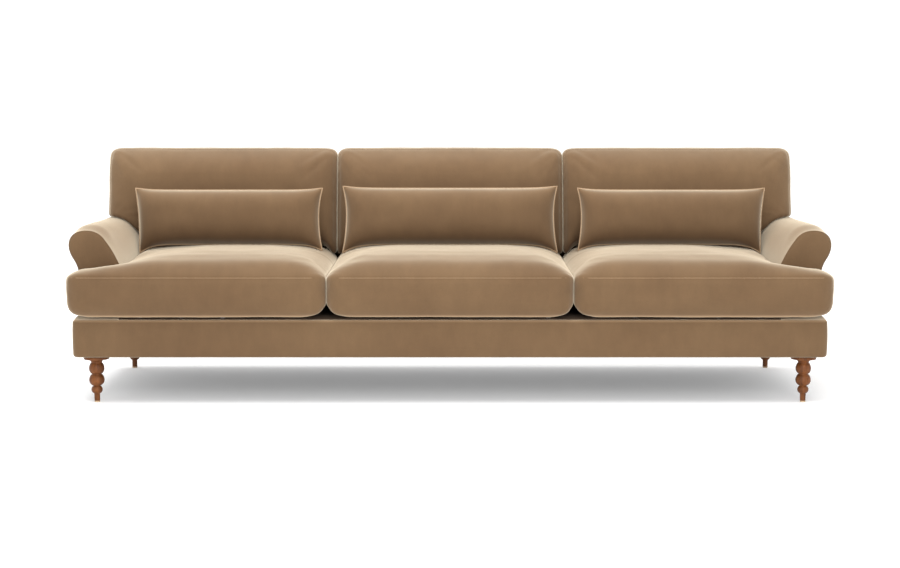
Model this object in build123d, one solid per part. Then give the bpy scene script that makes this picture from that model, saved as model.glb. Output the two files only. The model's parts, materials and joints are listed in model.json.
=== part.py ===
from build123d import *

import os
from math import atan2, cos, radians, sin, tan

# Three-seat sofa with rolled arms, loose cushions and turned legs.
# Millimetres, +Z up, the front faces -Y. The origin lies on the floor, under the middle
# of the overall width and depth.

# Overall sizes
OVERALL_WIDTH = 2692.0  # across the rolled arms
OVERALL_DEPTH = 1010.0  # front of the seat cushions to the top of the outside back
BACK_HEIGHT = 800.0  # floor to the top of the upholstered back frame
ARM_HEIGHT = 601.0  # floor to the top of the rolled arm

# Upholstered base
BASE_HEIGHT = 136.0
ROLL_OVERHANG = 30.0  # the arm's roll stands this far outside the base
SEAT_OVERHANG = 35.0  # the seat cushions stand this far ahead of the base
BACK_OVERHANG = 65.0  # the top of the outside back stands this far behind the base
BASE_CORNER = 24.0  # radius of the base's upright corners
BASE_EDGE = 5.0  # radius along the base's long edges
COVER_PAD = 8.0  # padding and velvet over the rails
HEM_WIDTH = 44.0  # velvet turned under the rails
HEM = 4.0
LIP_WIDTH = 20.0  # velvet turned over the rails
LIP = 5.0
DUST_COVER = 1.0
DUST_COVER_INSET = 12.0

# Wooden frame
RAIL = 30.0
STRETCHER_DROP = 27.0  # the stretchers stay this far below the rails, clear of the springs
BLOCK_SIDE = 84.0
BLOCK_HEIGHT = 45.0
SCREW_DIAMETER = 6.0
SCREW_HEAD = 12.0
SCREW_LENGTH = 70.0
SCREW_FROM_RAIL = 62.0  # along the block, away from the leg's bolt
HOLE_PLAY = 0.1  # radial

# Back frame
BACK_LEAN = 12.0  # degrees, the inside of the back
BACK_THICKNESS = 215.0  # inside back at the deck to the top of the outside back
BACK_PAD = 18.0
WEBBING = 2.0
WEBBING_WIDTH = 60.0
WEBBING_PER_SEAT = 4
POST_WIDTH = 32.0
BACK_PANEL = 9.0  # card, padding and velvet behind the frame
SIDE_PANEL = 12.0
BACK_INSET = 46.0  # the back frame's side, in from the overall width
TOP_RAIL = 45.0
TOP_PAD = 10.0
TACK_RAIL_HEIGHT = 60.0
TACK_RAIL_LIFT = 34.0  # above the deck
TACK_RAIL = 26.0

# Arms
ARM_WIDTH = 190.0  # inside face to the outside of the roll
ARM_SETBACK = 154.0  # front of the seat cushions to the arm's front panel
ROLL_RADIUS = 66.0
INNER_SLOPE = 58.0  # degrees from level, the inside of the arm below the roll
KNEE_RADIUS = 60.0  # where that slope turns upright
UNDER_ANGLE = 40.0  # degrees below level where the roll turns into the outside arm
ARM_STEP = 4.0  # outside arm, in from the base's side
ARM_PAD = 14.0
ARM_END = 10.0  # padding over the arm's rear end
ARM_BOARD = 18.0
ARM_PANEL = 6.0
PANEL_INSET = 12.0
WELT = 7.0  # piping diameter
WELT_PLAY = 0.2
ARM_POST_WIDTH = 40.0
ARM_POST_DEPTH = 50.0
ARM_POST_FOOT = 24.0  # foot of the post above the bottom of the rails
ARM_RAIL_WIDTH = 56.0
ARM_RAIL_HEIGHT = 25.0
ARM_TACK_RAIL = 33.0
ARM_TACK_HEIGHT = 46.0
PASSAGE_PLAY = 0.5  # round the arm rails where they go through the back pad

# Seat springs
WIRE = 3.8
SPRINGS_PER_SEAT = 5
SPRING_WIDTH = 50.0
SPRING_BARS = 25
SPRING_BEND = 13.0
CLIP_PLATE = 1.2
CLIP_PLAY = 0.2
CLIP_LENGTH = 16.0
CLIP_DEPTH = 12.0
CLIP_INSET = 22.0  # from the rail's outer face to the spring's last bar
DECK = 5.0
DECK_GAP = 0.4
DECK_EDGE = 15.0  # deck cloth behind the base's front face

# Cushions
SOFT_GAP = 0.4
COVER = 2.0  # velvet and lining
SEAT_WIDTH = 860.0  # middle seat, between the two gaps
CUSHION_GAP = 2.0
SEAT_SEAM = 140.0  # top seam above the cushion's underside
SEAT_CROWN = 67.0  # crown above the top seam
SEAT_ARM_GAP = 5.0
SEAT_REAR_GAP = 5.0
EAR_SIDE = 11.0  # the ear's end, in from the overall width
EAR_REAR_GAP = 4.0
SEAT_CORNER = 40.0
BACK_CUSHION_ABOVE = 42.0  # its rear top edge above the back frame
BACK_CUSHION_DEPTH = 215.0
BACK_CUSHION_BASE = 480.0  # floor to its lower rear edge
BACK_CORNER = 22.0
BACK_CUSHION_SIDE = 43.0  # the outer cushions' ends, in from the overall width
BACK_ARM_GAP = 3.0
LUMBAR_DEPTH = 150.0
LUMBAR_TOP = 199.0  # up the back cushion, from its lower edge
LUMBAR_SEAT_GAP = 1.0
LUMBAR_OVER_ARM = 2.0  # the outer pillows' lower ends, over the arm's slope
LUMBAR_FLARE = 20.0  # their upper ends, further out
LUMBAR_SPLIT_SIDE = 48.0  # the outer pillows' ends from the line between two seats
LUMBAR_SPLIT_MIDDLE = 29.0  # the middle pillow's ends from the same lines
LUMBAR_BOW_END = 15.0
LUMBAR_BOW_TOP = 10.0

# Legs
LEG_HEIGHT = 165.0
LEG_INSET_SIDE = 72.0  # leg axis, in from the base's sides
LEG_INSET = 64.0  # leg axis, in from the base's front and rear
COLLAR_RADIUS = 46.5
COLLAR_RIM = 5.0
COLLAR_HEIGHT = 24.0
NECK_RADIUS = 19.0
BEADS = ((40.0, 27.0, 15.8), (42.0, 27.0, 11.7), (27.0, 19.8, 10.6))  # height, radius, neck below
FOOT_RADIUS = 9.8
GLIDE = 5.0
BOLT = 8.0
BOLT_IN_LEG = 42.0
BOLT_ABOVE_NUT = 5.0
NUT_FLANGE = 22.0
NUT_FLANGE_THICKNESS = 1.6
NUT_BARREL = 10.4
NUT_BARREL_LENGTH = 10.0

# Places worked out from the sizes
half_width = OVERALL_WIDTH / 2
base_half = half_width - ROLL_OVERHANG
inside_half = half_width - ARM_WIDTH
back_half = half_width - BACK_INSET
seat_front = -OVERALL_DEPTH / 2
inside_back = OVERALL_DEPTH / 2 - BACK_THICKNESS
base_front = seat_front + SEAT_OVERHANG
base_rear = OVERALL_DEPTH / 2 - BACK_OVERHANG
base_bottom = LEG_HEIGHT + DUST_COVER
base_top = base_bottom + BASE_HEIGHT
rail_x = base_half - COVER_PAD
rail_front = base_front + COVER_PAD
rail_rear = base_rear - COVER_PAD
rail_bottom = base_bottom + HEM
rail_top = base_top - LIP
wire_z = rail_top + CLIP_PLATE + CLIP_PLAY + WIRE / 2
clip_top = wire_z + WIRE / 2 + CLIP_PLAY + CLIP_PLATE
deck_bottom = clip_top + DECK_GAP
deck_top = deck_bottom + DECK
seat_bottom = deck_top + SOFT_GAP
arm_front = seat_front + ARM_SETBACK
arm_board_front = arm_front + ARM_PANEL
arm_board_rear = arm_board_front + ARM_BOARD
roll_x = half_width - ROLL_RADIUS
roll_z = ARM_HEIGHT - ROLL_RADIUS
slope_turn = radians(90.0 + INNER_SLOPE)
knee_x = inside_half + KNEE_RADIUS
knee_z = roll_z + ((roll_x - knee_x) * cos(slope_turn) + ROLL_RADIUS - KNEE_RADIUS) / sin(slope_turn)
outer_arm = base_half - ARM_STEP
under_turn = radians(UNDER_ANGLE)
under_radius = (roll_x + ROLL_RADIUS * cos(under_turn) - outer_arm) / (1 - cos(under_turn))
under_x = outer_arm + under_radius
under_z = roll_z - (ROLL_RADIUS + under_radius) * sin(under_turn)
lean = radians(BACK_LEAN)
rear_lean = atan2(BACK_OVERHANG, BACK_HEIGHT - base_top)
frame_top = BACK_HEIGHT - TOP_PAD
seat_half = SEAT_WIDTH / 2
leg_places = [
    (side * (base_half - LEG_INSET_SIDE), y, depth)
    for y, depth in ((base_front + LEG_INSET, "front"), (base_rear - LEG_INSET, "rear"))
    for side in (-1, 1)
]
reach = 2 * OVERALL_WIDTH  # longer than anything that is cut


# Helpers


def block(x0, x1, y0, y1, z0, z1):
    """A box between two corners."""
    return Pos((x0 + x1) / 2, (y0 + y1) / 2, (z0 + z1) / 2) * Box(x1 - x0, y1 - y0, z1 - z0)


def across(points, x0, x1):
    """A (y, z) outline extruded along X."""
    return extrude(Plane.YZ.offset(x0) * Polygon(*points, align=None), amount=x1 - x0, dir=(1, 0, 0))


def bar(x, y, z, radius, length, axis=(0, 0, 1)):
    """A round bar from a point along an axis."""
    return extrude(Plane(origin=(x, y, z), z_dir=axis) * Circle(radius), amount=length)


def other_side(shape):
    """The mirror image on the left of the sofa."""
    return mirror(shape, about=Plane.YZ)


def front_y(z, depth=0.0):
    """The inside back at a height, or a plane that lies behind it by depth."""
    return inside_back + (z - deck_top) * tan(lean) + depth / cos(lean)


def rear_y(z, depth=0.0):
    """The outside back at a height, or a plane that lies ahead of it by depth."""
    return base_rear + (z - base_top) * tan(rear_lean) - depth / cos(rear_lean)


def behind(depth):
    """Everything behind a plane that lies behind the inside back by depth."""
    low, high = 0.0, 2 * BACK_HEIGHT
    points = [(front_y(low, depth), low), (reach, low), (reach, high), (front_y(high, depth), high)]
    return across(points, -reach, reach)


parts = {}

# Base frame: four rails, two stretchers and the corner blocks that carry the legs
front_rail = block(-rail_x, rail_x, rail_front, rail_front + RAIL, rail_bottom, rail_top)
rear_rail = block(-rail_x, rail_x, rail_rear - RAIL, rail_rear, rail_bottom, rail_top)
side_rail = block(rail_x - RAIL, rail_x, rail_front + RAIL, rail_rear - RAIL, rail_bottom, rail_top)
stretcher = block(
    -RAIL / 2, RAIL / 2, rail_front + RAIL, rail_rear - RAIL, rail_bottom, rail_top - STRETCHER_DROP
)
parts["seat_stretchers"] = [Pos(side * seat_half, 0, 0) * stretcher for side in (-1, 1)]


def screw(x, y, axis, play=0.0):
    """A countersunk screw with its head flush at (x, y), driven along axis."""
    plane = Plane(origin=(x, y, rail_bottom + BLOCK_HEIGHT / 2), z_dir=axis)
    shank = plane * Cylinder(
        SCREW_DIAMETER / 2 + play, SCREW_LENGTH + play, align=(Align.CENTER, Align.CENTER, Align.MIN)
    )
    cone_height = (SCREW_HEAD - SCREW_DIAMETER) / 2
    head = plane * Cone(
        SCREW_HEAD / 2 + play,
        SCREW_DIAMETER / 2 + play,
        cone_height,
        align=(Align.CENTER, Align.CENTER, Align.MIN),
    )
    return shank + head


def corner(x, y, depth):
    """A corner block with its leg bolt's hole, and the places of its two screws."""
    side = 1 if x > 0 else -1
    back = 1 if depth == "rear" else -1
    inner_x = side * (rail_x - RAIL)
    inner_y = rail_rear - RAIL if depth == "rear" else rail_front + RAIL
    far_x, far_y = inner_x - side * BLOCK_SIDE, inner_y - back * BLOCK_SIDE
    body = block(
        min(inner_x, far_x),
        max(inner_x, far_x),
        min(inner_y, far_y),
        max(inner_y, far_y),
        rail_bottom,
        rail_bottom + BLOCK_HEIGHT,
    )
    body -= bar(x, y, rail_bottom, BOLT / 2 + 2 * HOLE_PLAY, BLOCK_HEIGHT)
    barrel_z = rail_bottom + BLOCK_HEIGHT - NUT_BARREL_LENGTH
    body -= bar(x, y, barrel_z, NUT_BARREL / 2 + HOLE_PLAY, NUT_BARREL_LENGTH)
    screws = [
        (side * rail_x, inner_y - back * SCREW_FROM_RAIL, (-side, 0, 0)),
        (inner_x - side * SCREW_FROM_RAIL, rail_rear if back > 0 else rail_front, (0, -back, 0)),
    ]
    return body, screws


blocks, screw_places = [], []
for leg_x, leg_y, leg_depth in leg_places:
    corner_block, corner_screws = corner(leg_x, leg_y, leg_depth)
    blocks.append(corner_block)
    screw_places += corner_screws
screw_holes = [screw(*place, play=HOLE_PLAY) for place in screw_places]
parts["block_screws"] = [screw(*place) for place in screw_places]
parts["corner_blocks"] = [corner_block - screw_holes for corner_block in blocks]
parts["front_seat_rail"] = front_rail - screw_holes
parts["rear_seat_rail"] = rear_rail - screw_holes
parts["right_side_rail"] = side_rail - screw_holes
parts["left_side_rail"] = other_side(side_rail) - screw_holes

# Base cover: padded velvet round the rails, turned under them and over their top edges
base_middle = (base_front + base_rear) / 2
base_cover = Pos(0, base_middle, base_bottom) * extrude(
    RectangleRounded(2 * base_half, base_rear - base_front, BASE_CORNER), amount=BASE_HEIGHT
)
base_cover = fillet(
    base_cover.faces().sort_by(Axis.Z)[-1].edges() + base_cover.faces().sort_by(Axis.Z)[0].edges(),
    BASE_EDGE,
)
base_cover -= block(-rail_x, rail_x, rail_front, rail_rear, rail_bottom, rail_top)
hem_x, lip_x = base_half - HEM_WIDTH, base_half - LIP_WIDTH
base_cover -= block(
    -hem_x, hem_x, base_front + HEM_WIDTH, base_rear - HEM_WIDTH, base_bottom, rail_bottom
)
lip_rear = max(rail_rear, rear_y(base_top, BACK_PANEL))
base_cover -= block(-lip_x, lip_x, base_front + LIP_WIDTH, lip_rear, rail_top, base_top)
parts["base_cover"] = base_cover

# Dust cover: thin black cloth under the base, with a hole for each leg bolt
dust_cover = block(
    -base_half + DUST_COVER_INSET,
    base_half - DUST_COVER_INSET,
    base_front + DUST_COVER_INSET,
    base_rear - DUST_COVER_INSET,
    LEG_HEIGHT,
    base_bottom,
)
for leg_x, leg_y, _ in leg_places:
    dust_cover -= bar(leg_x, leg_y, LEG_HEIGHT, BOLT / 2 + 4 * HOLE_PLAY, DUST_COVER)
parts["dust_cover"] = dust_cover


# Legs: one turned profile, with a glide below and a hanger bolt above


def turned_leg():
    """Collar, three beads and a tapered foot, turned about Z, with the bolt's hole."""
    neck_z = LEG_HEIGHT - COLLAR_HEIGHT
    rim_z = LEG_HEIGHT - COLLAR_RIM
    lines = [
        Line((0, LEG_HEIGHT), (COLLAR_RADIUS, LEG_HEIGHT)),
        Line((COLLAR_RADIUS, LEG_HEIGHT), (COLLAR_RADIUS, rim_z)),
    ]
    flare = ((COLLAR_RADIUS - NECK_RADIUS) * 0.36 + NECK_RADIUS, (rim_z - neck_z) * 0.58 + neck_z)
    lines.append(ThreePointArc((COLLAR_RADIUS, rim_z), flare, (NECK_RADIUS, neck_z)))
    top, neck = neck_z, NECK_RADIUS
    for height, radius, next_neck in BEADS:
        low = top - height
        lines.append(ThreePointArc((neck, top), (radius, (top + low) / 2), (next_neck, low)))
        top, neck = low, next_neck
    lines += [
        Line((neck, top), (FOOT_RADIUS, GLIDE)),
        Line((FOOT_RADIUS, GLIDE), (0, GLIDE)),
        Line((0, GLIDE), (0, LEG_HEIGHT)),
    ]
    leg = revolve(Plane.XZ * make_face(lines), axis=Axis.Z)
    return leg - bar(0, 0, LEG_HEIGHT - BOLT_IN_LEG, BOLT / 2 + HOLE_PLAY, BOLT_IN_LEG)


leg = turned_leg()
nut_z = rail_bottom + BLOCK_HEIGHT
bolt_low = LEG_HEIGHT - BOLT_IN_LEG
bolt_high = nut_z + NUT_FLANGE_THICKNESS + BOLT_ABOVE_NUT
glide = bar(0, 0, 0, FOOT_RADIUS, GLIDE)
hanger_bolt = bar(0, 0, bolt_low, BOLT / 2, bolt_high - bolt_low)
tee_nut = bar(0, 0, nut_z, NUT_FLANGE / 2, NUT_FLANGE_THICKNESS)
tee_nut += bar(0, 0, nut_z - NUT_BARREL_LENGTH, NUT_BARREL / 2, NUT_BARREL_LENGTH)
tee_nut -= bar(0, 0, nut_z - NUT_BARREL_LENGTH, BOLT / 2 + HOLE_PLAY, bolt_high - bolt_low)
for leg_x, leg_y, leg_depth in leg_places:
    side_name = "right" if leg_x > 0 else "left"
    parts[f"{leg_depth}_{side_name}_leg"] = Pos(leg_x, leg_y, 0) * leg
parts["leg_glides"] = [Pos(x, y, 0) * glide for x, y, _ in leg_places]
parts["hanger_bolts"] = [Pos(x, y, 0) * hanger_bolt for x, y, _ in leg_places]
parts["leg_tee_nuts"] = [Pos(x, y, 0) * tee_nut for x, y, _ in leg_places]


# Seat springs: sinuous wires from the front rail to the rear rail, held by clips

first_bar = rail_front + CLIP_INSET
last_bar = rail_rear - CLIP_INSET
bar_step = (last_bar - first_bar) / (SPRING_BARS - 1)


def sinuous_spring():
    """Straight bars across X, joined by bends at alternate ends."""
    points = []
    for i in range(SPRING_BARS):
        ends = (-SPRING_WIDTH / 2, SPRING_WIDTH / 2)
        for x in ends if i % 2 == 0 else ends[::-1]:
            points.append((x, first_bar + i * bar_step, wire_z))
    bend = min(SPRING_BEND, 0.45 * bar_step)
    path = FilletPolyline(*points, radius=bend)
    return sweep(Plane(origin=path @ 0, z_dir=path % 0) * Circle(WIRE / 2), path=path)


def spring_clip(y, facing):
    """A bent plate round a spring's last bar, open to one side."""
    inner = WIRE / 2 + CLIP_PLAY
    outer = inner + CLIP_PLATE
    points = [
        (y - facing * outer, wire_z - outer),
        (y + facing * CLIP_DEPTH / 2, wire_z - outer),
        (y + facing * CLIP_DEPTH / 2, wire_z - inner),
        (y - facing * inner, wire_z - inner),
        (y - facing * inner, wire_z + inner),
        (y + facing * CLIP_DEPTH / 2, wire_z + inner),
        (y + facing * CLIP_DEPTH / 2, wire_z + outer),
        (y - facing * outer, wire_z + outer),
    ]
    return across(points, -CLIP_LENGTH / 2, CLIP_LENGTH / 2)


spring = sinuous_spring()
clip_pair = [spring_clip(first_bar, 1), spring_clip(last_bar, -1)]
seat_bays = {
    "left": (-inside_half, -seat_half),
    "centre": (-seat_half, seat_half),
    "right": (seat_half, inside_half),
}
parts["spring_clips"] = []
for bay, (x0, x1) in seat_bays.items():
    pitch = (x1 - x0) / SPRINGS_PER_SEAT
    places = [x0 + (i + 0.5) * pitch for i in range(SPRINGS_PER_SEAT)]
    parts[f"{bay}_seat_springs"] = [Pos(x, 0, 0) * spring for x in places]
    parts["spring_clips"] += [Pos(x, 0, 0) * clip for x in places for clip in clip_pair]

# Seat deck: padded cloth over the springs, between the arms
deck_half = inside_half - CUSHION_GAP
deck_rear = front_y(deck_bottom) - CUSHION_GAP
parts["seat_deck"] = block(
    -deck_half, deck_half, base_front + DECK_EDGE, deck_rear, deck_bottom, deck_top
)


# Arms: the profile is drawn on the right of the sofa and offset by changing its radii


def arm_lines(inset, bottom):
    """The arm's outline from its inner foot, over the roll, to its outer foot."""

    def arc(x, z, radius, start, end):
        angles = [radians(a) for a in (start, (start + end) / 2, end)]
        return ThreePointArc(*[(x + radius * cos(a), z + radius * sin(a)) for a in angles])

    knee = arc(knee_x, knee_z, KNEE_RADIUS - inset, 180, 90 + INNER_SLOPE)
    roll = arc(roll_x, roll_z, ROLL_RADIUS - inset, 90 + INNER_SLOPE, -UNDER_ANGLE)
    under = arc(under_x, under_z, under_radius + inset, 180 - UNDER_ANGLE, 180)
    inner_x, outer_x = inside_half + inset, outer_arm - inset
    return [
        Line((inner_x, bottom), (inner_x, knee_z)),
        knee,
        Line(knee @ 1, roll @ 0),
        roll,
        under,
        Line((outer_x, under_z), (outer_x, bottom)),
    ]


def arm_prism(inset, bottom, y0, y1):
    """The arm's closed outline, extruded from y0 to y1."""
    lines = arm_lines(inset, bottom)
    lines.append(Line(lines[-1] @ 1, lines[0] @ 0))
    face = Pos(0, y0, 0) * (Plane.XZ * make_face(lines))
    return extrude(face, amount=y1 - y0, dir=(0, 1, 0))


arm_board = arm_prism(ARM_PAD, base_top, arm_board_front, arm_board_rear)
arm_panel = arm_prism(PANEL_INSET, base_top, arm_front, arm_board_front)

welt_inset = PANEL_INSET - WELT / 2 - WELT_PLAY
welt_path = Pos(0, arm_board_front - WELT / 2, 0) * (
    Plane.XZ * Wire(arm_lines(welt_inset, base_top))
)
arm_welt = sweep(Plane(origin=welt_path @ 0, z_dir=welt_path % 0) * Circle(WELT / 2), path=welt_path)

arm_post_outer = rail_x - RAIL
arm_rail_bottom = roll_z - ARM_RAIL_HEIGHT / 2
arm_post = block(
    arm_post_outer - ARM_POST_WIDTH,
    arm_post_outer,
    arm_board_rear,
    arm_board_rear + ARM_POST_DEPTH,
    rail_bottom + ARM_POST_FOOT,
    arm_rail_bottom,
)


post_edge = min(back_half - SIDE_PANEL, base_half - LIP_WIDTH)


def arm_rail(play=0.0):
    """The rail inside the roll, from the front board to the back post."""
    rail = block(
        post_edge - ARM_RAIL_WIDTH - play,
        post_edge + play,
        arm_board_rear,
        OVERALL_DEPTH,
        arm_rail_bottom - play,
        arm_rail_bottom + ARM_RAIL_HEIGHT + play,
    )
    return rail - behind(BACK_PAD + WEBBING)


arm_inner_pad = inside_half + ARM_PAD
arm_tack_rail = block(
    arm_inner_pad,
    arm_inner_pad + ARM_TACK_RAIL,
    arm_board_rear,
    OVERALL_DEPTH,
    base_top,
    base_top + ARM_TACK_HEIGHT,
) - behind(-ARM_END)
arm_hollow = arm_prism(ARM_PAD, base_top, arm_board_front, OVERALL_DEPTH) - behind(-ARM_END)
arm_cover = arm_prism(0, base_top, arm_board_front, OVERALL_DEPTH) - behind(0)
arm_cover -= [arm_hollow, arm_rail(PASSAGE_PLAY)]

for part_name, solids in (
    ("arm_cover", [arm_cover]),
    ("arm_front_board", [arm_board]),
    ("arm_front_panel", [arm_panel]),
    ("arm_welt", [arm_welt]),
    ("arm_post", [arm_post]),
    ("arm_rails", [arm_rail(), arm_tack_rail]),
):
    parts[f"right_{part_name}"] = solids
    parts[f"left_{part_name}"] = [other_side(solid) for solid in solids]

# Back frame: four posts on the rear rail, a top rail over them and tack rails between them
frame_depth = BACK_PAD + WEBBING
top_rail_bottom = frame_top - TOP_RAIL


def back_slice(z0, z1, x0, x1, ahead, rear):
    """A slice of the back between two heights, set in from its inside and outside faces."""
    points = [
        (front_y(z0, ahead), z0),
        (rear_y(z0, rear), z0),
        (rear_y(z1, rear), z1),
        (front_y(z1, ahead), z1),
    ]
    return across(points, x0, x1)


post_centres = [-post_edge + POST_WIDTH / 2, -seat_half, seat_half, post_edge - POST_WIDTH / 2]
parts["back_posts"] = [
    back_slice(rail_top, top_rail_bottom, x - POST_WIDTH / 2, x + POST_WIDTH / 2, frame_depth, BACK_PANEL)
    for x in post_centres
]
parts["back_top_rail"] = back_slice(
    top_rail_bottom, frame_top, -post_edge, post_edge, frame_depth, BACK_PANEL
)
tack_low = deck_top + TACK_RAIL_LIFT
tack_high = tack_low + TACK_RAIL_HEIGHT
tack_points = [
    (front_y(tack_low, frame_depth), tack_low),
    (front_y(tack_low, frame_depth + TACK_RAIL), tack_low),
    (front_y(tack_high, frame_depth + TACK_RAIL), tack_high),
    (front_y(tack_high, frame_depth), tack_high),
]
parts["back_tack_rails"] = []
parts["back_webbing"] = []
for x0, x1 in zip(post_centres, post_centres[1:]):
    bay_start, bay_end = x0 + POST_WIDTH / 2, x1 - POST_WIDTH / 2
    parts["back_tack_rails"].append(across(tack_points, bay_start, bay_end))
    pitch = (bay_end - bay_start) / WEBBING_PER_SEAT
    web_points = [
        (front_y(tack_low, BACK_PAD), tack_low),
        (front_y(tack_low, frame_depth), tack_low),
        (front_y(frame_top, frame_depth), frame_top),
        (front_y(frame_top, BACK_PAD), frame_top),
    ]
    for i in range(WEBBING_PER_SEAT):
        middle = bay_start + (i + 0.5) * pitch
        web = across(web_points, middle - WEBBING_WIDTH / 2, middle + WEBBING_WIDTH / 2)
        parts["back_webbing"].append(web)

# Back covers: a pad in front and over the top, a panel behind and a strip at each side
pad_points = [
    (front_y(deck_bottom), deck_bottom),
    (front_y(deck_bottom, BACK_PAD), deck_bottom),
    (front_y(frame_top, BACK_PAD), frame_top),
    (rear_y(frame_top, BACK_PANEL), frame_top),
    (rear_y(BACK_HEIGHT, BACK_PANEL), BACK_HEIGHT),
    (front_y(BACK_HEIGHT), BACK_HEIGHT),
]
back_pad = across(pad_points, -back_half, back_half)
back_pad -= [arm_rail(PASSAGE_PLAY), other_side(arm_rail(PASSAGE_PLAY))]
parts["inside_back_pad"] = back_pad
panel_points = [
    (rear_y(base_top, BACK_PANEL), base_top),
    (rear_y(base_top), base_top),
    (rear_y(BACK_HEIGHT), BACK_HEIGHT),
    (rear_y(BACK_HEIGHT, BACK_PANEL), BACK_HEIGHT),
]
parts["outside_back_panel"] = across(panel_points, -back_half, back_half)
side_panel = back_slice(base_top, frame_top, post_edge, back_half, BACK_PAD, BACK_PANEL)
parts["back_side_panels"] = [other_side(side_panel), side_panel]


# Cushions: lofts through level outlines. Each level is a height and an inset of the outline,
# so the same list gives the sewn cover, the hollow inside it and the filling.

FOOT_LEVELS = ((0.0, 60.0), (7.0, 34.0), (19.0, 13.0), (38.0, 2.0))
CROWN_LEVELS = ((0.0, 0.0), (0.28, 12.0), (0.56, 38.0), (0.75, 72.0), (0.89, 122.0), (1.0, 220.0))
EAR_SLOPE = (0.0, 36.0, 140.0, 240.0, 340.0, 440.0)  # the same levels, in from the ear's end
BACK_LEVELS = (
    (0.0, 40.0),
    (0.035, 18.0),
    (0.11, 4.0),
    (0.23, 0.0),
    (0.68, 0.0),
    (0.8, 5.0),
    (0.885, 17.0),
    (0.945, 40.0),
    (0.985, 80.0),
    (1.0, 130.0),
)
LUMBAR_LEVELS = ((0.03, 0.0, 1.0), (0.2, 6.0, 0.85), (0.45, 18.0, 0.6), (0.7, 38.0, 0.35),
                 (0.88, 64.0, 0.12), (1.0, 96.0, 0.0))


def shrink(levels, skin):
    """Levels of the same cushion, smaller all round by the thickness of a skin."""
    low, high = levels[0][0], levels[-1][0]
    middle, scale = (low + high) / 2, 1 - 2 * skin / (high - low)
    return [(middle + (level - middle) * scale, inset + skin) for level, inset in levels]


def crown_at(levels, inset):
    """The height of a cushion's crown at a distance in from its edge."""
    for (low, start), (high, end) in zip(levels, levels[1:]):
        if start <= inset <= end:
            return low + (high - low) * (inset - start) / (end - start)
    return levels[-1][0]


def boxed_cushion(x0, x1, y0, y1, levels, corner_radius, ends=None):
    """A cushion with rounded corners, lofted up Z; ends are its own insets at x1."""
    sections = []
    for i, (level, inset) in enumerate(levels):
        low, high = x0 + inset, x1 - (ends[i] if ends else inset)
        width, depth = high - low, y1 - y0 - 2 * inset
        radius = min(corner_radius + 0.3 * inset, 0.45 * min(width, depth))
        outline = RectangleRounded(width, depth, radius)
        sections.append(Pos((low + high) / 2, (y0 + y1) / 2, level) * outline)
    return loft(sections, ruled=True)


def with_filling(name, build):
    """A hollow cover and the filling inside it, from one builder of the cushion's shape."""
    parts[f"{name}_cover"] = build(0.0) - build(COVER)
    parts[f"{name}_filling"] = build(COVER + SOFT_GAP)


# Seat cushions: the outer two have an ear in front of the arm
seat_rear = front_y(deck_top) - SEAT_REAR_GAP
seat_seam = seat_bottom + SEAT_SEAM
foot_levels = [(seat_bottom + level, inset) for level, inset in FOOT_LEVELS]
seat_levels = foot_levels + [(seat_seam + f * SEAT_CROWN, inset) for f, inset in CROWN_LEVELS]
ear_insets = [inset for _, inset in FOOT_LEVELS] + list(EAR_SLOPE)


def centre_seat(skin):
    """The middle seat cushion."""
    half = seat_half - CUSHION_GAP / 2
    return boxed_cushion(-half, half, seat_front, seat_rear, shrink(seat_levels, skin), SEAT_CORNER)


def right_seat(skin):
    """The outer seat cushion: it slopes to an ear, and is cut away where the arm stands."""
    start, end = seat_half + CUSHION_GAP / 2, half_width - EAR_SIDE
    levels = shrink(seat_levels, skin)
    ends = [inset + skin for inset in ear_insets]
    body = boxed_cushion(start, end, seat_front, seat_rear, levels, SEAT_CORNER, ends)
    pressed, ear_rear = inside_half - SEAT_ARM_GAP, arm_front - EAR_REAR_GAP
    return body - block(pressed - skin, reach, ear_rear - skin, reach, 0, BACK_HEIGHT)


with_filling("centre_seat", centre_seat)
with_filling("right_seat", right_seat)
with_filling("left_seat", lambda skin: other_side(right_seat(skin)))

# Back cushions: they lean on the inside back, and the outer two lie over the arms
back_plane = Plane(
    origin=(0, front_y(BACK_CUSHION_BASE) - SOFT_GAP / cos(lean), BACK_CUSHION_BASE),
    x_dir=(1, 0, 0),
    z_dir=(0, -cos(lean), sin(lean)),
)
back_levels = [(f * BACK_CUSHION_DEPTH, inset) for f, inset in BACK_LEVELS]
back_cushion_height = (BACK_HEIGHT + BACK_CUSHION_ABOVE - BACK_CUSHION_BASE) / cos(lean)


def back_cushion(x0, x1, skin):
    """A back cushion between two places across the sofa."""
    levels = shrink(back_levels, skin)
    return back_plane.location * boxed_cushion(x0, x1, 0, back_cushion_height, levels, BACK_CORNER)


def right_back(skin):
    """The outer back cushion, cut away where it lies over the arm."""
    cushion = back_cushion(seat_half + CUSHION_GAP / 2, half_width - BACK_CUSHION_SIDE, skin)
    return cushion - arm_prism(-BACK_ARM_GAP - skin, 0, 0, OVERALL_DEPTH)


with_filling("centre_back", lambda skin: back_cushion(
    -seat_half + CUSHION_GAP / 2, seat_half - CUSHION_GAP / 2, skin))
with_filling("right_back", right_back)
with_filling("left_back", lambda skin: other_side(right_back(skin)))


# Lumbar pillows: knife edged, with bowed sides, standing on the seats against the back cushions
lumbar_half_depth = LUMBAR_DEPTH / 2
lumbar_touching = LUMBAR_TOP - LUMBAR_LEVELS[-1][1]
lumbar_depth = crown_at(back_levels, lumbar_touching) + SOFT_GAP + lumbar_half_depth
lumbar_foot = seat_levels[-1][0] + LUMBAR_SEAT_GAP
lumbar_bottom = (lumbar_foot - back_plane.origin.Z - lumbar_depth * sin(lean)) / cos(lean)


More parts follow.
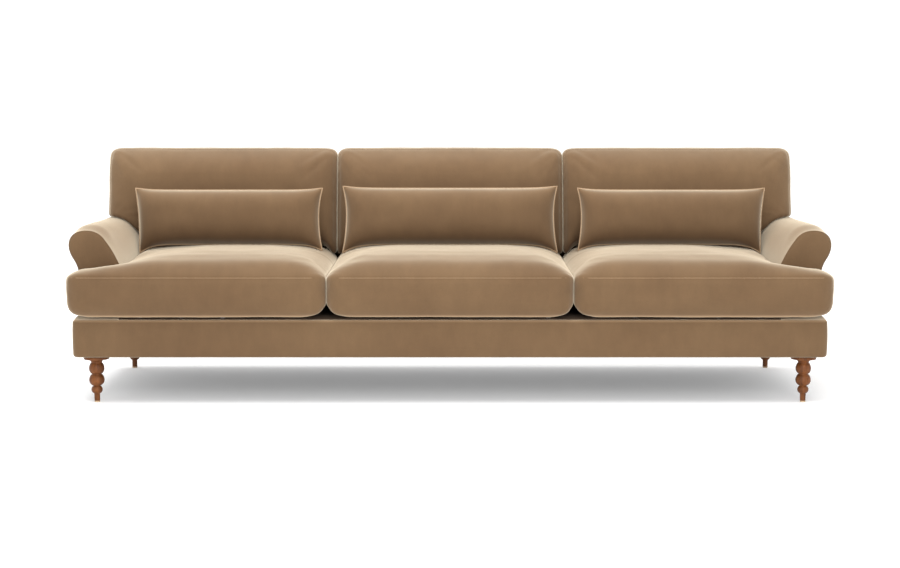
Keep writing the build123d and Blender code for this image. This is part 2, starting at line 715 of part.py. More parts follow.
def lumbar_pillow(x0, x1, skin, flare=0.0):
    """A pillow between two places across the sofa, lofted through outlines with bowed sides."""
    half = [(-f, inset, bow) for f, inset, bow in LUMBAR_LEVELS[::-1]]
    sections = []
    for f, inset, bow in half + list(LUMBAR_LEVELS):
        margin = inset + skin
        left, right = x0 + margin, x1 - margin
        bottom, top = lumbar_bottom + margin, LUMBAR_TOP - margin
        middle, half_way = (x0 + x1) / 2, (bottom + top) / 2
        pull_end, pull_top = LUMBAR_BOW_END * bow, LUMBAR_BOW_TOP * bow
        out = right + flare
        sides = [
            ((right, bottom), ((right + out) / 2 - pull_end, half_way), (out, top)),
            ((out, top), (middle, top - pull_top), (left, top)),
            ((left, top), (left + pull_end, half_way), (left, bottom)),
        ]
        outline = [Line((left, bottom), (right, bottom))]
        outline += [ThreePointArc(*side) if bow else Line(side[0], side[2]) for side in sides]
        depth = lumbar_depth + f * (lumbar_half_depth - skin)
        sections.append(Pos(0, 0, depth) * make_face(outline))
    return back_plane.location * loft(sections, ruled=True)


lumbar_half = seat_half - LUMBAR_SPLIT_MIDDLE


def right_lumbar(skin):
    """The outer pillow, whose upper end reaches further over the arm."""
    start, end = seat_half + LUMBAR_SPLIT_SIDE, inside_half + LUMBAR_OVER_ARM
    return lumbar_pillow(start, end, skin, LUMBAR_FLARE)


with_filling("centre_lumbar", lambda skin: lumbar_pillow(-lumbar_half, lumbar_half, skin))
with_filling("right_lumbar", right_lumbar)
with_filling("left_lumbar", lambda skin: other_side(right_lumbar(skin)))

# One STEP file for each node
os.makedirs("parts", exist_ok=True)
for part_name, shape in parts.items():
    shapes = shape if isinstance(shape, list) else [shape]
    solids = [solid for item in shapes for solid in item.solids()]
    export_step(Compound(solids) if len(solids) > 1 else solids[0], f"parts/{part_name}.step")
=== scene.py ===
# %% [markdown]
# # A long velvet sofa
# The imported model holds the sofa's frame, its fillings and its joints. This lesson dresses it with padded
# velvet, turned legs, seams and piping. Every piece is made in metres, in the model's own frame, with the
# front towards -Y, so a pose can carry each piece along with its body.

import json
import math
import bmesh
import bpy
import numpy as np
from mathutils import Matrix, Vector, noise


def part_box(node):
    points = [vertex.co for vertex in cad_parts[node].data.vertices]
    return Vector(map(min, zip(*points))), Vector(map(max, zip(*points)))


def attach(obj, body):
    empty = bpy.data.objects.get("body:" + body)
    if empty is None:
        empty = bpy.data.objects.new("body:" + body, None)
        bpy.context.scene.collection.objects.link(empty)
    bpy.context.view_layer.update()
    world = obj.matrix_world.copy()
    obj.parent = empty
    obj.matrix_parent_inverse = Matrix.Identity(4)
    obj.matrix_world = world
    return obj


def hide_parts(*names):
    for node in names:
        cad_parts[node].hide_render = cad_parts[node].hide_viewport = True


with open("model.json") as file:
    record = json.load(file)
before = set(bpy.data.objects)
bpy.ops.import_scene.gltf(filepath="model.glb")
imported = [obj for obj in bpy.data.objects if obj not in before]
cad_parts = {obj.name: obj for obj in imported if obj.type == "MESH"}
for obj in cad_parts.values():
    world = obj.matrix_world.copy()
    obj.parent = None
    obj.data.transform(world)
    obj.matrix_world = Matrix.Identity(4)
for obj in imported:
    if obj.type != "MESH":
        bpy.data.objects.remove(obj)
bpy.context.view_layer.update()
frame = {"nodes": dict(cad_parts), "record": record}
nodes = frame["nodes"]
scene = bpy.context.scene
SIDES = ("left", "centre", "right")

# %% [markdown]
# ## Camera
# The picture was taken from far away and a little above the arms, so the uprights stay nearly parallel. A
# long lens at the same distance gives the same perspective; both came from the spacing of the front and
# rear legs.

# %% Camera
CAMERA_PLACE = (0.0, -6.8483, 1.1284)
LOOK_DOWN = 6.293  # degrees
camera_data = bpy.data.cameras.new("camera")
camera_data.lens = 74.0
camera_data.sensor_width = 36.0
camera_data.sensor_fit = "HORIZONTAL"
camera = bpy.data.objects.new("camera", camera_data)
camera.location = CAMERA_PLACE
camera.rotation_euler = (math.radians(90 - LOOK_DOWN), 0.0, 0.0)
scene.collection.objects.link(camera)
scene.camera = camera
print("lens:", camera_data.lens, "mm, looking down", LOOK_DOWN, "degrees")

# %% [markdown]
# ## Studio
# A white sweep: a pale floor, a white surround and two large soft lamps. One lamp would leave the fronts
# dull, so the overhead one lights the tops and draws the shadow under the base, and the front one gives
# the upright faces their even colour.

# %% Studio
scene.view_settings.view_transform = "Standard"
world = bpy.data.worlds.new("studio")
scene.world = world
world.use_nodes = True
world.node_tree.nodes["Background"].inputs["Color"].default_value = (1.0, 1.0, 1.0, 1.0)
world.node_tree.nodes["Background"].inputs["Strength"].default_value = 1.2


def softbox(name, place, target, size, power):
    """A rectangular area lamp that looks at a target."""
    lamp_data = bpy.data.lights.new(name, "AREA")
    lamp_data.shape = "RECTANGLE"
    lamp_data.size, lamp_data.size_y = size
    lamp_data.energy = power
    lamp = bpy.data.objects.new(name, lamp_data)
    lamp.location = place
    lamp.rotation_euler = (Vector(target) - Vector(place)).to_track_quat("-Z", "Y").to_euler()
    scene.collection.objects.link(lamp)


softbox("overhead", (-0.5, -0.3, 4.4), (0.0, -0.1, 0.3), (5.4, 3.2), 255.0)
softbox("front", (0.6, -6.0, 2.6), (0.0, 0.0, 0.5), (4.0, 2.5), 150.0)

floor_bm = bmesh.new()
bmesh.ops.create_grid(floor_bm, x_segments=2, y_segments=2, size=14.0)
floor_mesh = bpy.data.meshes.new("floor")
floor_bm.to_mesh(floor_mesh)
floor_bm.free()
floor = bpy.data.objects.new("floor", floor_mesh)
scene.collection.objects.link(floor)
print("lamps:", [light.name for light in bpy.data.lights])

# %% [markdown]
# ## Finishes
# Every finish is worked out from noise on the object coordinates. A picture would need unwrapping and
# would show its pixels close up; noise needs neither, and it stays put when a cushion moves. A few
# helpers add the nodes, and each finish is then a short function.

# %% Node helpers


def new_material(name):
    """A node material, its tree and its principled shader."""
    material = bpy.data.materials.new(name)
    material.use_nodes = True
    tree = material.node_tree
    return material, tree, tree.nodes["Principled BSDF"]


def add_node(tree, kind, **values):
    """A node with its plain properties and input defaults set by name."""
    node = tree.nodes.new(kind)
    for key, value in values.items():
        if key in node.inputs:
            node.inputs[key].default_value = value
        else:
            setattr(node, key, value)
    return node


def noise_on(tree, coordinates, scale, detail=3.0, roughness=0.5, stretch=None):
    """A noise factor on given coordinates, stretched along its axes if asked."""
    source = coordinates
    if stretch:
        mapping = add_node(tree, "ShaderNodeMapping", Scale=stretch)
        tree.links.new(source, mapping.inputs["Vector"])
        source = mapping.outputs["Vector"]
    texture = add_node(tree, "ShaderNodeTexNoise", Scale=scale, Detail=detail, Roughness=roughness)
    tree.links.new(source, texture.inputs["Vector"])
    return texture.outputs["Fac"]


def grey(level):
    """A colour without hue."""
    return level, level, level


def ramp(tree, factor, stops):
    """A colour ramp with (place, colour) stops."""
    node = tree.nodes.new("ShaderNodeValToRGB")
    elements = node.color_ramp.elements
    while len(elements) < len(stops):
        elements.new(0.5)
    for element, (place, colour) in zip(elements, stops):
        element.position = place
        element.color = (*colour, 1.0)
    tree.links.new(factor, node.inputs["Fac"])
    return node.outputs["Color"]


def mix_colours(tree, factor, a, b, blend="MIX"):
    """Two colour outputs mixed by a factor, which is a number or an output."""
    node = add_node(tree, "ShaderNodeMix", data_type="RGBA", blend_type=blend)
    if isinstance(factor, float):
        node.inputs["Factor"].default_value = factor
    else:
        tree.links.new(factor, node.inputs["Factor"])
    tree.links.new(a, node.inputs["A"])
    tree.links.new(b, node.inputs["B"])
    return node.outputs["Result"]


def bump_from(tree, height, strength, distance, normal=None):
    """A bump normal from a height factor."""
    node = add_node(tree, "ShaderNodeBump", Strength=strength, Distance=distance)
    tree.links.new(height, node.inputs["Height"])
    if normal:
        tree.links.new(normal, node.inputs["Normal"])
    return node.outputs["Normal"]


def object_coordinates(tree):
    """The object coordinates, which are the model's own frame because every piece sits at the origin."""
    return tree.nodes.new("ShaderNodeTexCoord").outputs["Object"]


# %% [markdown]
# Velvet is short pile on a woven ground. Seen end on it is deep and matt, and along its edges the fibre
# tips catch light. A rough colour alone would look like felt, so a sheen layer brightens the edges. Slow
# noise gives the brushed patches and very fine noise the pile itself. Along the front, where the seats
# meet the base, a paler band is painted light: a painted highlight on those edges, and painted light in
# the shade under the seats' overhang.

# %% Velvet
base_low, base_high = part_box("base_cover")
# painted light: this paler colour is painted along the base's top edge and the seats' lower front edge, as
# a highlight and to lighten the shade under the seats' overhang
PAINTED_RIM_LIGHT = (0.36, 0.24, 0.14)
RIM_FROM, RIM_FULL = base_high.z - 0.014, base_high.z - 0.001  # the rim's lower edge
RIM_FADES, RIM_TO = base_high.z + 0.004, base_high.z + 0.020  # and its upper one
RIM_FRONT, RIM_BACK = base_low.y + 0.020, base_low.y + 0.070


def between(tree, value, start, end, first, last):
    """A value carried smoothly from first to last between start and end."""
    ends = {"From Min": start, "From Max": end, "To Min": first, "To Max": last}
    node = add_node(tree, "ShaderNodeMapRange", interpolation_type="SMOOTHSTEP", **ends)
    tree.links.new(value, node.inputs["Value"])
    return node.outputs["Result"]


def times(tree, a, b):
    """Two outputs multiplied."""
    node = add_node(tree, "ShaderNodeMath", operation="MULTIPLY")
    tree.links.new(a, node.inputs[0])
    tree.links.new(b, node.inputs[1])
    return node.outputs["Value"]


def painted_front_rim(tree, where):
    """How much painted light lies along the front, where the seats meet the base: a painted highlight on
    the edges and painted light in the shade under the seats' overhang.
    """
    split = tree.nodes.new("ShaderNodeSeparateXYZ")
    tree.links.new(where, split.inputs["Vector"])
    rising = between(tree, split.outputs["Z"], RIM_FROM, RIM_FULL, 0.0, 1.0)
    falling = between(tree, split.outputs["Z"], RIM_FADES, RIM_TO, 1.0, 0.0)
    ahead = between(tree, split.outputs["Y"], RIM_FRONT, RIM_BACK, 1.0, 0.0)
    return times(tree, times(tree, rising, falling), ahead)


def velvet(name, deep, light):
    """Tan pile cloth, with brushed patches between two colours and a band of painted light along the front.
    """
    material, tree, shader = new_material(name)
    where = object_coordinates(tree)
    patches = noise_on(tree, where, 3.2, 3.0, 0.5)
    brushed = noise_on(tree, where, 26.0, 4.0, 0.6, (1.0, 0.5, 0.5))
    pile = noise_on(tree, where, 950.0, 2.0, 0.6)
    slow = ramp(tree, patches, ((0.3, deep), (0.7, light)))
    quick = ramp(tree, brushed, ((0.3, grey(0.93)), (0.7, grey(1.05))))
    grain = ramp(tree, pile, ((0.3, grey(0.88)), (0.7, grey(1.08))))
    colour = mix_colours(tree, 1.0, slow, quick, "MULTIPLY")
    colour = mix_colours(tree, 1.0, colour, grain, "MULTIPLY")
    # painted light: the paler band along the front is mixed into the colour here
    rim = tree.nodes.new("ShaderNodeRGB")
    rim.outputs["Color"].default_value = (*PAINTED_RIM_LIGHT, 1.0)
    colour = mix_colours(tree, painted_front_rim(tree, where), colour, rim.outputs["Color"])
    tree.links.new(colour, shader.inputs["Base Color"])
    normal = bump_from(tree, pile, 0.2, 0.0005)
    normal = bump_from(tree, brushed, 0.05, 0.002, normal)
    tree.links.new(normal, shader.inputs["Normal"])
    shader.inputs["Roughness"].default_value = 0.92
    shader.inputs["Specular IOR Level"].default_value = 0.2
    shader.inputs["Sheen Weight"].default_value = 0.93
    shader.inputs["Sheen Roughness"].default_value = 0.38
    shader.inputs["Sheen Tint"].default_value = (1.0, 0.88, 0.68, 1.0)
    return material


tan_velvet = velvet("tan_velvet", (0.113, 0.065, 0.032), (0.134, 0.080, 0.040))
sheen_painted_velvet = velvet("sheen_painted_velvet", (0.31, 0.205, 0.12), (0.37, 0.25, 0.15))  # painted highlight: a paler velvet for the sheen along sewn edges and cords
print("painted light rim from", round(RIM_FROM, 3), "to", round(RIM_TO, 3), "m high")

# %% [markdown]
# The legs are turned hardwood with a red brown stain and a satin polish. The grain runs up the leg, so
# the noise is stretched along Z: broad for the figure, narrow for the pores. The rails inside are the
# same wood, bare and pale.

# %% Stained wood


def stained_wood(name, dark, bright, roughness):
    """Hardwood with grain along Z."""
    material, tree, shader = new_material(name)
    where = object_coordinates(tree)
    figure = noise_on(tree, where, 60.0, 5.0, 0.6, (1.0, 1.0, 0.12))
    pores = noise_on(tree, where, 420.0, 3.0, 0.6, (1.0, 1.0, 0.05))
    colour = ramp(tree, figure, ((0.32, dark), (0.68, bright)))
    lines = ramp(tree, pores, ((0.36, (0.55, 0.5, 0.48)), (0.5, grey(1.0))))
    tree.links.new(mix_colours(tree, 0.6, colour, lines, "MULTIPLY"), shader.inputs["Base Color"])
    tree.links.new(bump_from(tree, pores, 0.12, 0.0004), shader.inputs["Normal"])
    shader.inputs["Roughness"].default_value = roughness
    shader.inputs["Specular IOR Level"].default_value = 0.25
    return material


leg_wood = stained_wood("leg_wood", (0.080, 0.024, 0.005), (0.185, 0.060, 0.013), 0.5)
frame_wood = stained_wood("frame_wood", (0.42, 0.27, 0.15), (0.58, 0.41, 0.25), 0.7)
print("woods:", leg_wood.name, frame_wood.name)

# %% [markdown]
# The hidden parts get plain workshop finishes: bright steel for the fasteners, dull wire for the springs,
# black spunbond cloth under the base, woven webbing behind the back. One function each for metal and
# cloth is enough, because only colour, gloss and thread size differ. Then every solid of the model gets
# its slot's finish.

# %% Workshop finishes


def metal(name, dark, bright, roughness):
    """Plated or drawn steel with faint streaks."""
    material, tree, shader = new_material(name)
    streaks = noise_on(tree, object_coordinates(tree), 300.0, 3.0, 0.6, (1.0, 0.2, 1.0))
    tree.links.new(ramp(tree, streaks, ((0.3, dark), (0.7, bright))), shader.inputs["Base Color"])
    shader.inputs["Metallic"].default_value = 1.0
    shader.inputs["Roughness"].default_value = roughness
    return material


def plain_cloth(name, dark, bright, scale):
    """A woven or bonded cloth with visible threads."""
    material, tree, shader = new_material(name)
    where = object_coordinates(tree)
    threads = noise_on(tree, where, scale, 2.0, 0.6)
    mottle = noise_on(tree, where, 18.0, 3.0, 0.5)
    colour = ramp(tree, threads, ((0.35, dark), (0.65, bright)))
    shade = ramp(tree, mottle, ((0.3, grey(0.85)), (0.7, grey(1.05))))
    tree.links.new(mix_colours(tree, 1.0, colour, shade, "MULTIPLY"), shader.inputs["Base Color"])
    tree.links.new(bump_from(tree, threads, 0.4, 0.0006), shader.inputs["Normal"])
    shader.inputs["Roughness"].default_value = 0.95
    return material


bright_steel = metal("bright_steel", grey(0.5), grey(0.68), 0.32)
spring_wire = metal("spring_wire", grey(0.2), grey(0.36), 0.45)
black_cloth = plain_cloth("black_cloth", grey(0.010), grey(0.03), 700.0)
# the deck cloth is a real dark lining, and its darkness is partly painted shade for the shaded slit between
# the seats and the base
deck_cloth = plain_cloth("deck_cloth", (0.045, 0.028, 0.016), (0.075, 0.048, 0.028), 900.0)
web_cloth = plain_cloth("web_cloth", (0.05, 0.04, 0.035), (0.1, 0.085, 0.07), 500.0)
foam = plain_cloth("foam", (0.55, 0.50, 0.36), (0.68, 0.63, 0.48), 250.0)
glide_nylon = plain_cloth("glide_nylon", (0.5, 0.36, 0.22), (0.58, 0.43, 0.28), 300.0)

floor_material, floor_tree, floor_shader = new_material("pale_floor")
floor_fleck = noise_on(floor_tree, object_coordinates(floor_tree), 8.0, 3.0)
floor_tone = ramp(floor_tree, floor_fleck, ((0.0, grey(0.86)), (1.0, grey(0.9))))
floor_tree.links.new(floor_tone, floor_shader.inputs["Base Color"])
floor_shader.inputs["Roughness"].default_value = 0.9
floor_shader.inputs["Emission Color"].default_value = (1.0, 1.0, 1.0, 1.0)
floor_shader.inputs["Emission Strength"].default_value = 0.17
floor.data.materials.append(floor_material)

slot_finish = {
    "frame_wood": frame_wood,
    "plywood": frame_wood,
    "steel": bright_steel,
    "spring_steel": spring_wire,
    "webbing": web_cloth,
    "black_cloth": black_cloth,
    "deck_cloth": deck_cloth,
    "filling": foam,
    "velvet": tan_velvet,
    "pad": tan_velvet,
    "leg_wood": leg_wood,
    "glide": glide_nylon,
}
for subpart in frame["record"]["subparts"]:
    node_mesh = nodes[subpart["node"]].data
    node_mesh.materials.clear()
    node_mesh.materials.append(slot_finish[subpart["material_slot"]])
print("finishes:", sorted(slot_finish))

# %% [markdown]
# ## Helpers for pieces
# A piece starts as a bmesh, becomes an object at the origin, and is told which body it rides on, which
# solids of the model it stands for and which finish it takes. Vertices are moved as whole arrays, because
# one vertex at a time would be slow on the cushions.

# %% Piece helpers


def mesh_piece(mesh, name, material):
    """A smooth-shaded object at the origin from a mesh."""
    mesh.materials.clear()
    mesh.materials.append(material)
    mesh.polygons.foreach_set("use_smooth", [True] * len(mesh.polygons))
    piece = bpy.data.objects.new(name, mesh)
    scene.collection.objects.link(piece)
    return piece


def as_piece(bm, name, material):
    """A smooth-shaded object at the origin from a finished bmesh."""
    mesh = bpy.data.meshes.new(name)
    bm.to_mesh(mesh)
    bm.free()
    return mesh_piece(mesh, name, material)


def belongs(piece, body, slot, *stands_for):
    """Rides on a body and stands for the named solids. The slot is not used."""
    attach(piece, body)
    if stands_for:
        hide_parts(*stands_for)
    return piece


def tell(piece):
    """Prints a piece's name and how many faces it has."""
    print(piece.name, len(piece.data.polygons), "faces")


def applied(piece):
    """The piece with its modifiers made real."""
    evaluated = piece.evaluated_get(bpy.context.evaluated_depsgraph_get())
    mesh = bpy.data.meshes.new_from_object(evaluated)
    old = piece.data
    piece.modifiers.clear()
    piece.data = mesh
    bpy.data.meshes.remove(old)
    mesh.polygons.foreach_set("use_smooth", [True] * len(mesh.polygons))
    return piece


def points_of(piece):
    """Vertex places as an array of rows."""
    places = np.empty(len(piece.data.vertices) * 3)
    piece.data.vertices.foreach_get("co", places)
    return places.reshape(-1, 3)


def normals_of(piece):
    """Vertex normals as an array of rows."""
    rows = np.empty(len(piece.data.vertices) * 3)
    piece.data.vertex_normals.foreach_get("vector", rows)
    return rows.reshape(-1, 3)


def move_points(piece, places):
    """Sets the vertex places."""
    piece.data.vertices.foreach_set("co", np.asarray(places, float).ravel())
    piece.data.update()


def eased(values, start, end):
    """A smooth step from 0 at start to 1 at end."""
    t = np.clip((values - start) / (end - start), 0, 1)
    return t * t * (3 - 2 * t)


def soft_noise(places, size, seed):
    """Smooth noise from -1 to 1 at each place, for slow unevenness in cloth."""
    shift = Vector((17.3 * seed, 5.1 * seed, 9.7 * seed))
    return np.array([noise.noise(Vector(place) / size + shift) for place in places])


def wander(piece, *waves, share=1.0):
    """Moves a surface in and out by waves of noise, each a depth, a size and a seed, where share allows."""
    places, normals = points_of(piece), normals_of(piece)
    drift = sum(depth * soft_noise(places, size, seed) for depth, size, seed in waves)
    move_points(piece, places + normals * (drift * share)[:, None])


# %% [markdown]
# Some shapes come back in several pieces: a box between two corners, a rounded edge, a row of cuts, a
# mirror image for the other arm, a thin cord of cloth. Each is one operator or two, kept here once.

# %% Shape helpers


def block(low, high):
    """A bmesh box between two corners."""
    bm = bmesh.new()
    bmesh.ops.create_cube(bm, size=1.0)
    bmesh.ops.scale(bm, vec=high - low, verts=bm.verts)
    bmesh.ops.translate(bm, vec=(low + high) / 2, verts=bm.verts)
    return bm


def is_level(edge):
    """Whether an edge's ends are equally high."""
    return abs(edge.verts[0].co.z - edge.verts[1].co.z) < 1e-5


def round_edges(bm, edges, radius, segments):
    """Rounds edges to a radius."""
    bmesh.ops.bevel(
        bm, geom=edges, offset=radius, offset_type="OFFSET", affect="EDGES", segments=segments, profile=0.5,
        material=-1,
    )


def cut_along(bm, axis, places):
    """Cuts the whole mesh square to an axis at each place."""
    normal = Vector((0.0, 0.0, 0.0))
    normal[axis] = 1.0
    for place in places:
        geometry = bm.verts[:] + bm.edges[:] + bm.faces[:]
        bmesh.ops.bisect_plane(bm, geom=geometry, plane_co=normal * place, plane_no=normal)


def spaced(low, high, step):
    """Evenly spaced places strictly between two ends."""
    count = max(1, round((high - low) / step))
    return [low + (high - low) * i / count for i in range(1, count)]


def welded(node, distance):
    """A solid's loose triangles joined into one bmesh."""
    bm = bmesh.new()
    bm.from_mesh(nodes[node].data)
    bmesh.ops.remove_doubles(bm, verts=bm.verts, dist=distance)
    return bm


def mirrored(piece, name):
    """The piece's mirror image on the other side of the sofa."""
    bm = bmesh.new()
    bm.from_mesh(piece.data)
    bmesh.ops.scale(bm, vec=(-1.0, 1.0, 1.0), verts=bm.verts)
    bmesh.ops.reverse_faces(bm, faces=bm.faces)
    return as_piece(bm, name, piece.data.materials[0])


def tube(name, points, radius, material, closed=False):
    """A round cord of cloth along points, as a mesh."""
    curve = bpy.data.curves.new(name, "CURVE")
    curve.dimensions = "3D"
    curve.bevel_depth = radius
    curve.bevel_resolution = 3
    curve.use_fill_caps = not closed
    spline = curve.splines.new("POLY")
    spline.points.add(len(points) - 1)
    for point, place in zip(spline.points, points):
        point.co = (*place, 1.0)
    spline.use_cyclic_u = closed
    holder = bpy.data.objects.new(name, curve)
    scene.collection.objects.link(holder)
    depsgraph = bpy.context.evaluated_depsgraph_get()
    bm = bmesh.new()
    bm.from_mesh(bpy.data.meshes.new_from_object(holder.evaluated_get(depsgraph)))
    bpy.data.objects.remove(holder)
    bmesh.ops.remove_doubles(bm, verts=bm.verts, dist=1e-6)
    return as_piece(bm, name, material)


# %% [markdown]
# ## Legs
# Each leg is turned on a lathe: a wide collar, three beads and a slim foot. Stacked spheres would leave
# creases, so the half profile is drawn once, as a turner would, and spun about its axis. Coves and beads
# are worked out as arcs from heights and radii.

# %% Turned legs
LEG_STEPS = 64
COVE_STEPS = 8
BEAD_STEPS = 14
COLLAR_R, COLLAR_TALL = 0.0445, 0.012
COLLAR_EASE = 0.001  # the collar's edges are eased by this
COVE_TALL = 0.013
NECK_R = 0.019
# each bead's height and radius, and the neck's radius below it
leg_beads = ((0.040, 0.027, 0.0158), (0.042, 0.027, 0.0117), (0.027, 0.0198, 0.0106))
FOOT_R = 0.0098
GLIDE_TALL = 0.005


def leg_profile():
    """Radius and height down the leg."""
    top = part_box("front_left_leg")[1].z
    eased_r, cove_top = COLLAR_R - COLLAR_EASE, top - COLLAR_TALL
    profile = [(0.0, top), (eased_r, top), (COLLAR_R, top - COLLAR_EASE)]
    profile += [(COLLAR_R, cove_top + 2 * COLLAR_EASE), (eased_r, cove_top)]
    high, neck = cove_top - COVE_TALL, NECK_R
    for i in range(1, COVE_STEPS + 1):
        turn = i / COVE_STEPS * math.pi / 2
        swept = math.sin(turn) ** 0.75
        profile.append((eased_r - (eased_r - neck) * swept, high + COVE_TALL * math.cos(turn)))
    for height, radius, next_neck in leg_beads:
        for i in range(1, BEAD_STEPS + 1):
            t = i / BEAD_STEPS
            around = math.sin(math.pi * t) ** 0.62
            waist = neck + (next_neck - neck) * t
            profile.append((waist + (radius - waist) * around, high - height * t))
        high, neck = high - height, next_neck
    profile += [(FOOT_R + 0.0005, high - 0.004), (FOOT_R + 0.0003, 0.012), (FOOT_R, GLIDE_TALL + 0.0005)]
    return profile + [(FOOT_R - 0.0006, GLIDE_TALL), (0.0, GLIDE_TALL)]


def turned_leg(node):
    """A leg spun about the middle of its solid."""
    low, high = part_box(node)
    axis = Vector(((low.x + high.x) / 2, (low.y + high.y) / 2, 0.0))
    bm = bmesh.new()
    line = [bm.verts.new(axis + Vector((radius, 0.0, z))) for radius, z in leg_profile()]
    edges = [bm.edges.new(pair) for pair in zip(line, line[1:])]
    bmesh.ops.spin(
        bm, geom=line + edges, cent=axis, axis=(0, 0, 1), angle=math.tau, steps=LEG_STEPS, use_merge=True
    )
    bmesh.ops.remove_doubles(bm, verts=bm.verts, dist=1e-5)
    bmesh.ops.recalc_face_normals(bm, faces=bm.faces)
    return belongs(as_piece(bm, "turned_" + node, leg_wood), "frame", "leg_wood", node)


legs = [turned_leg(f"{end}_{side}_leg") for end in ("front", "rear") for side in ("left", "right")]
print("legs:", [leg.name for leg in legs])

# %% [markdown]
# Each foot stands on a nylon glide, a low disc with a rounded rim. A short cone with equal ends is a
# disc, and a small bevel takes the sharpness off.

# %% Glides
GLIDE_ROUND = 0.0012


def glides():
    """Four rounded discs under the feet."""
    bm = bmesh.new()
    for leg in legs:
        places = points_of(leg)
        x, y, _ = (places.min(0) + places.max(0)) / 2
        disc = bmesh.ops.create_cone(
            bm, cap_ends=True, segments=40, radius1=FOOT_R, radius2=FOOT_R, depth=GLIDE_TALL
        )["verts"]
        bmesh.ops.translate(bm, vec=(x, y, GLIDE_TALL / 2), verts=disc)
    round_edges(bm, [e for e in bm.edges if is_level(e)], GLIDE_ROUND, 3)
    return belongs(as_piece(bm, "foot_glides", glide_nylon), "frame", "glide", "leg_glides")


tell(glides())

# %% [markdown]
# ## Base
# The rails are wrapped in thin padding and velvet. A bare box would look like painted board, so its
# corners are rounded, cuts along it let the padding swell a few millimetres and wander slightly, as
# pulled cloth does, and the velvet is turned over the rails and under them. In front of each arm it
# covers the top as well.

# %% Base band
panel_low, panel_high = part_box("right_arm_front_panel")
deck_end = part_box("seat_deck")[1].x
LIP = 0.016  # velvet turned over the rails
HEM = 0.044  # velvet turned under the rails
LAP = 0.015  # the velvet before the arms reaches under the deck's ends
CORNER_R, BASE_EDGE_R = 0.022, 0.010
BASE_CUT, BASE_ROW = 0.03, 0.022
BASE_SWELL = 0.0025  # at half height
TOP_LIFT = 0.0018  # the padding lifts the top edge
FRONT_DIP = 0.0058  # and the seats press it down at the front
VELVET_THICK = 0.003


def inside(face):
    """Whether a level face lies further in than the turned edge, and not on top in front of an arm."""
    place, turned = face.calc_center_median(), LIP if face.normal.z > 0 else HEM
    if face.normal.z > 0 and abs(place.x) > deck_end - LAP and place.y < panel_low.y:
        return False
    return all(base_low[axis] + turned < place[axis] < base_high[axis] - turned for axis in (0, 1))


def base_band():
    """The velvet band round the rails, turned over their tops and under their bottoms."""
    bm = block(base_low, base_high)
    round_edges(bm, [e for e in bm.edges if not is_level(e)], CORNER_R, 6)
    round_edges(bm, [e for e in bm.edges if is_level(e)], BASE_EDGE_R, 4)
    for axis in (0, 1):
        low, high = base_low[axis], base_high[axis]
        cut_along(bm, axis, [low + LIP, low + HEM, high - HEM, high - LIP])
        cut_along(bm, axis, spaced(low + 0.05, high - 0.05, BASE_CUT))
    cut_along(bm, 2, spaced(base_low.z + 0.012, base_high.z - 0.012, BASE_ROW))
    inner = [f for f in bm.faces if abs(f.normal.z) > 0.9 and inside(f)]
    bmesh.ops.delete(bm, geom=inner, context="FACES")
    piece = as_piece(bm, "base_band", tan_velvet)
    places, normals = points_of(piece), normals_of(piece)
    rise = (places[:, 2] - base_low.z) / (base_high.z - base_low.z)
    swell = BASE_SWELL * np.clip(1 - (2 * rise - 1) ** 2, 0, 1) + 0.0007 * soft_noise(places, 0.11, 1)
    at_front = 1 - eased(places[:, 1], RIM_FRONT, RIM_BACK)
    places[:, 2] += eased(rise, 0.85, 0.95) * (TOP_LIFT - FRONT_DIP * at_front)
    sideways = np.abs(normals[:, 2]) < 0.8
    places[sideways] += normals[sideways] * swell[sideways][:, None]
    move_points(piece, places)
    wall = piece.modifiers.new("cloth", "SOLIDIFY")
    wall.thickness = VELVET_THICK
    wall.offset = -1.0
    return belongs(piece, "frame", "pad", "base_cover")


tell(base_band())

# %% [markdown]
# ## Padded cushions
# The fillings in the model already have each cushion's crown. Their solids alone would look carved, so a
# copy is remeshed evenly, relaxed, and blown up a little as cloth under pressure. Its sewn edges are
# held, so it swells between the seams as a stuffed cover does, and every move is capped, so it stays in
# its solid's space.

# %% Soft copies
RELAX_STEPS = 6
SIM_FRAMES = 20
SLACK = (0.0009, 0.004, 0.007)  # how far a cover may swell past its solid's box


def soft_copy(name, node, voxel, grow):
    """An evenly meshed, relaxed copy of a solid, grown by the cloth that covers it."""
    piece = as_piece(welded(node, 1e-5), name, tan_velvet)
    even = piece.modifiers.new("even", "REMESH")
    even.mode = "VOXEL"
    even.voxel_size = voxel
    smooth = piece.modifiers.new("relax", "SMOOTH")
    smooth.factor = 0.5
    smooth.iterations = RELAX_STEPS
    applied(piece)
    move_points(piece, points_of(piece) + grow * normals_of(piece))
    return piece


def keep_within(piece, node):
    """Presses a piece flat where it would leave its solid's box by more than the slack."""
    low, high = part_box(node)
    move_points(piece, np.clip(points_of(piece), np.array(low) - SLACK, np.array(high) + SLACK))


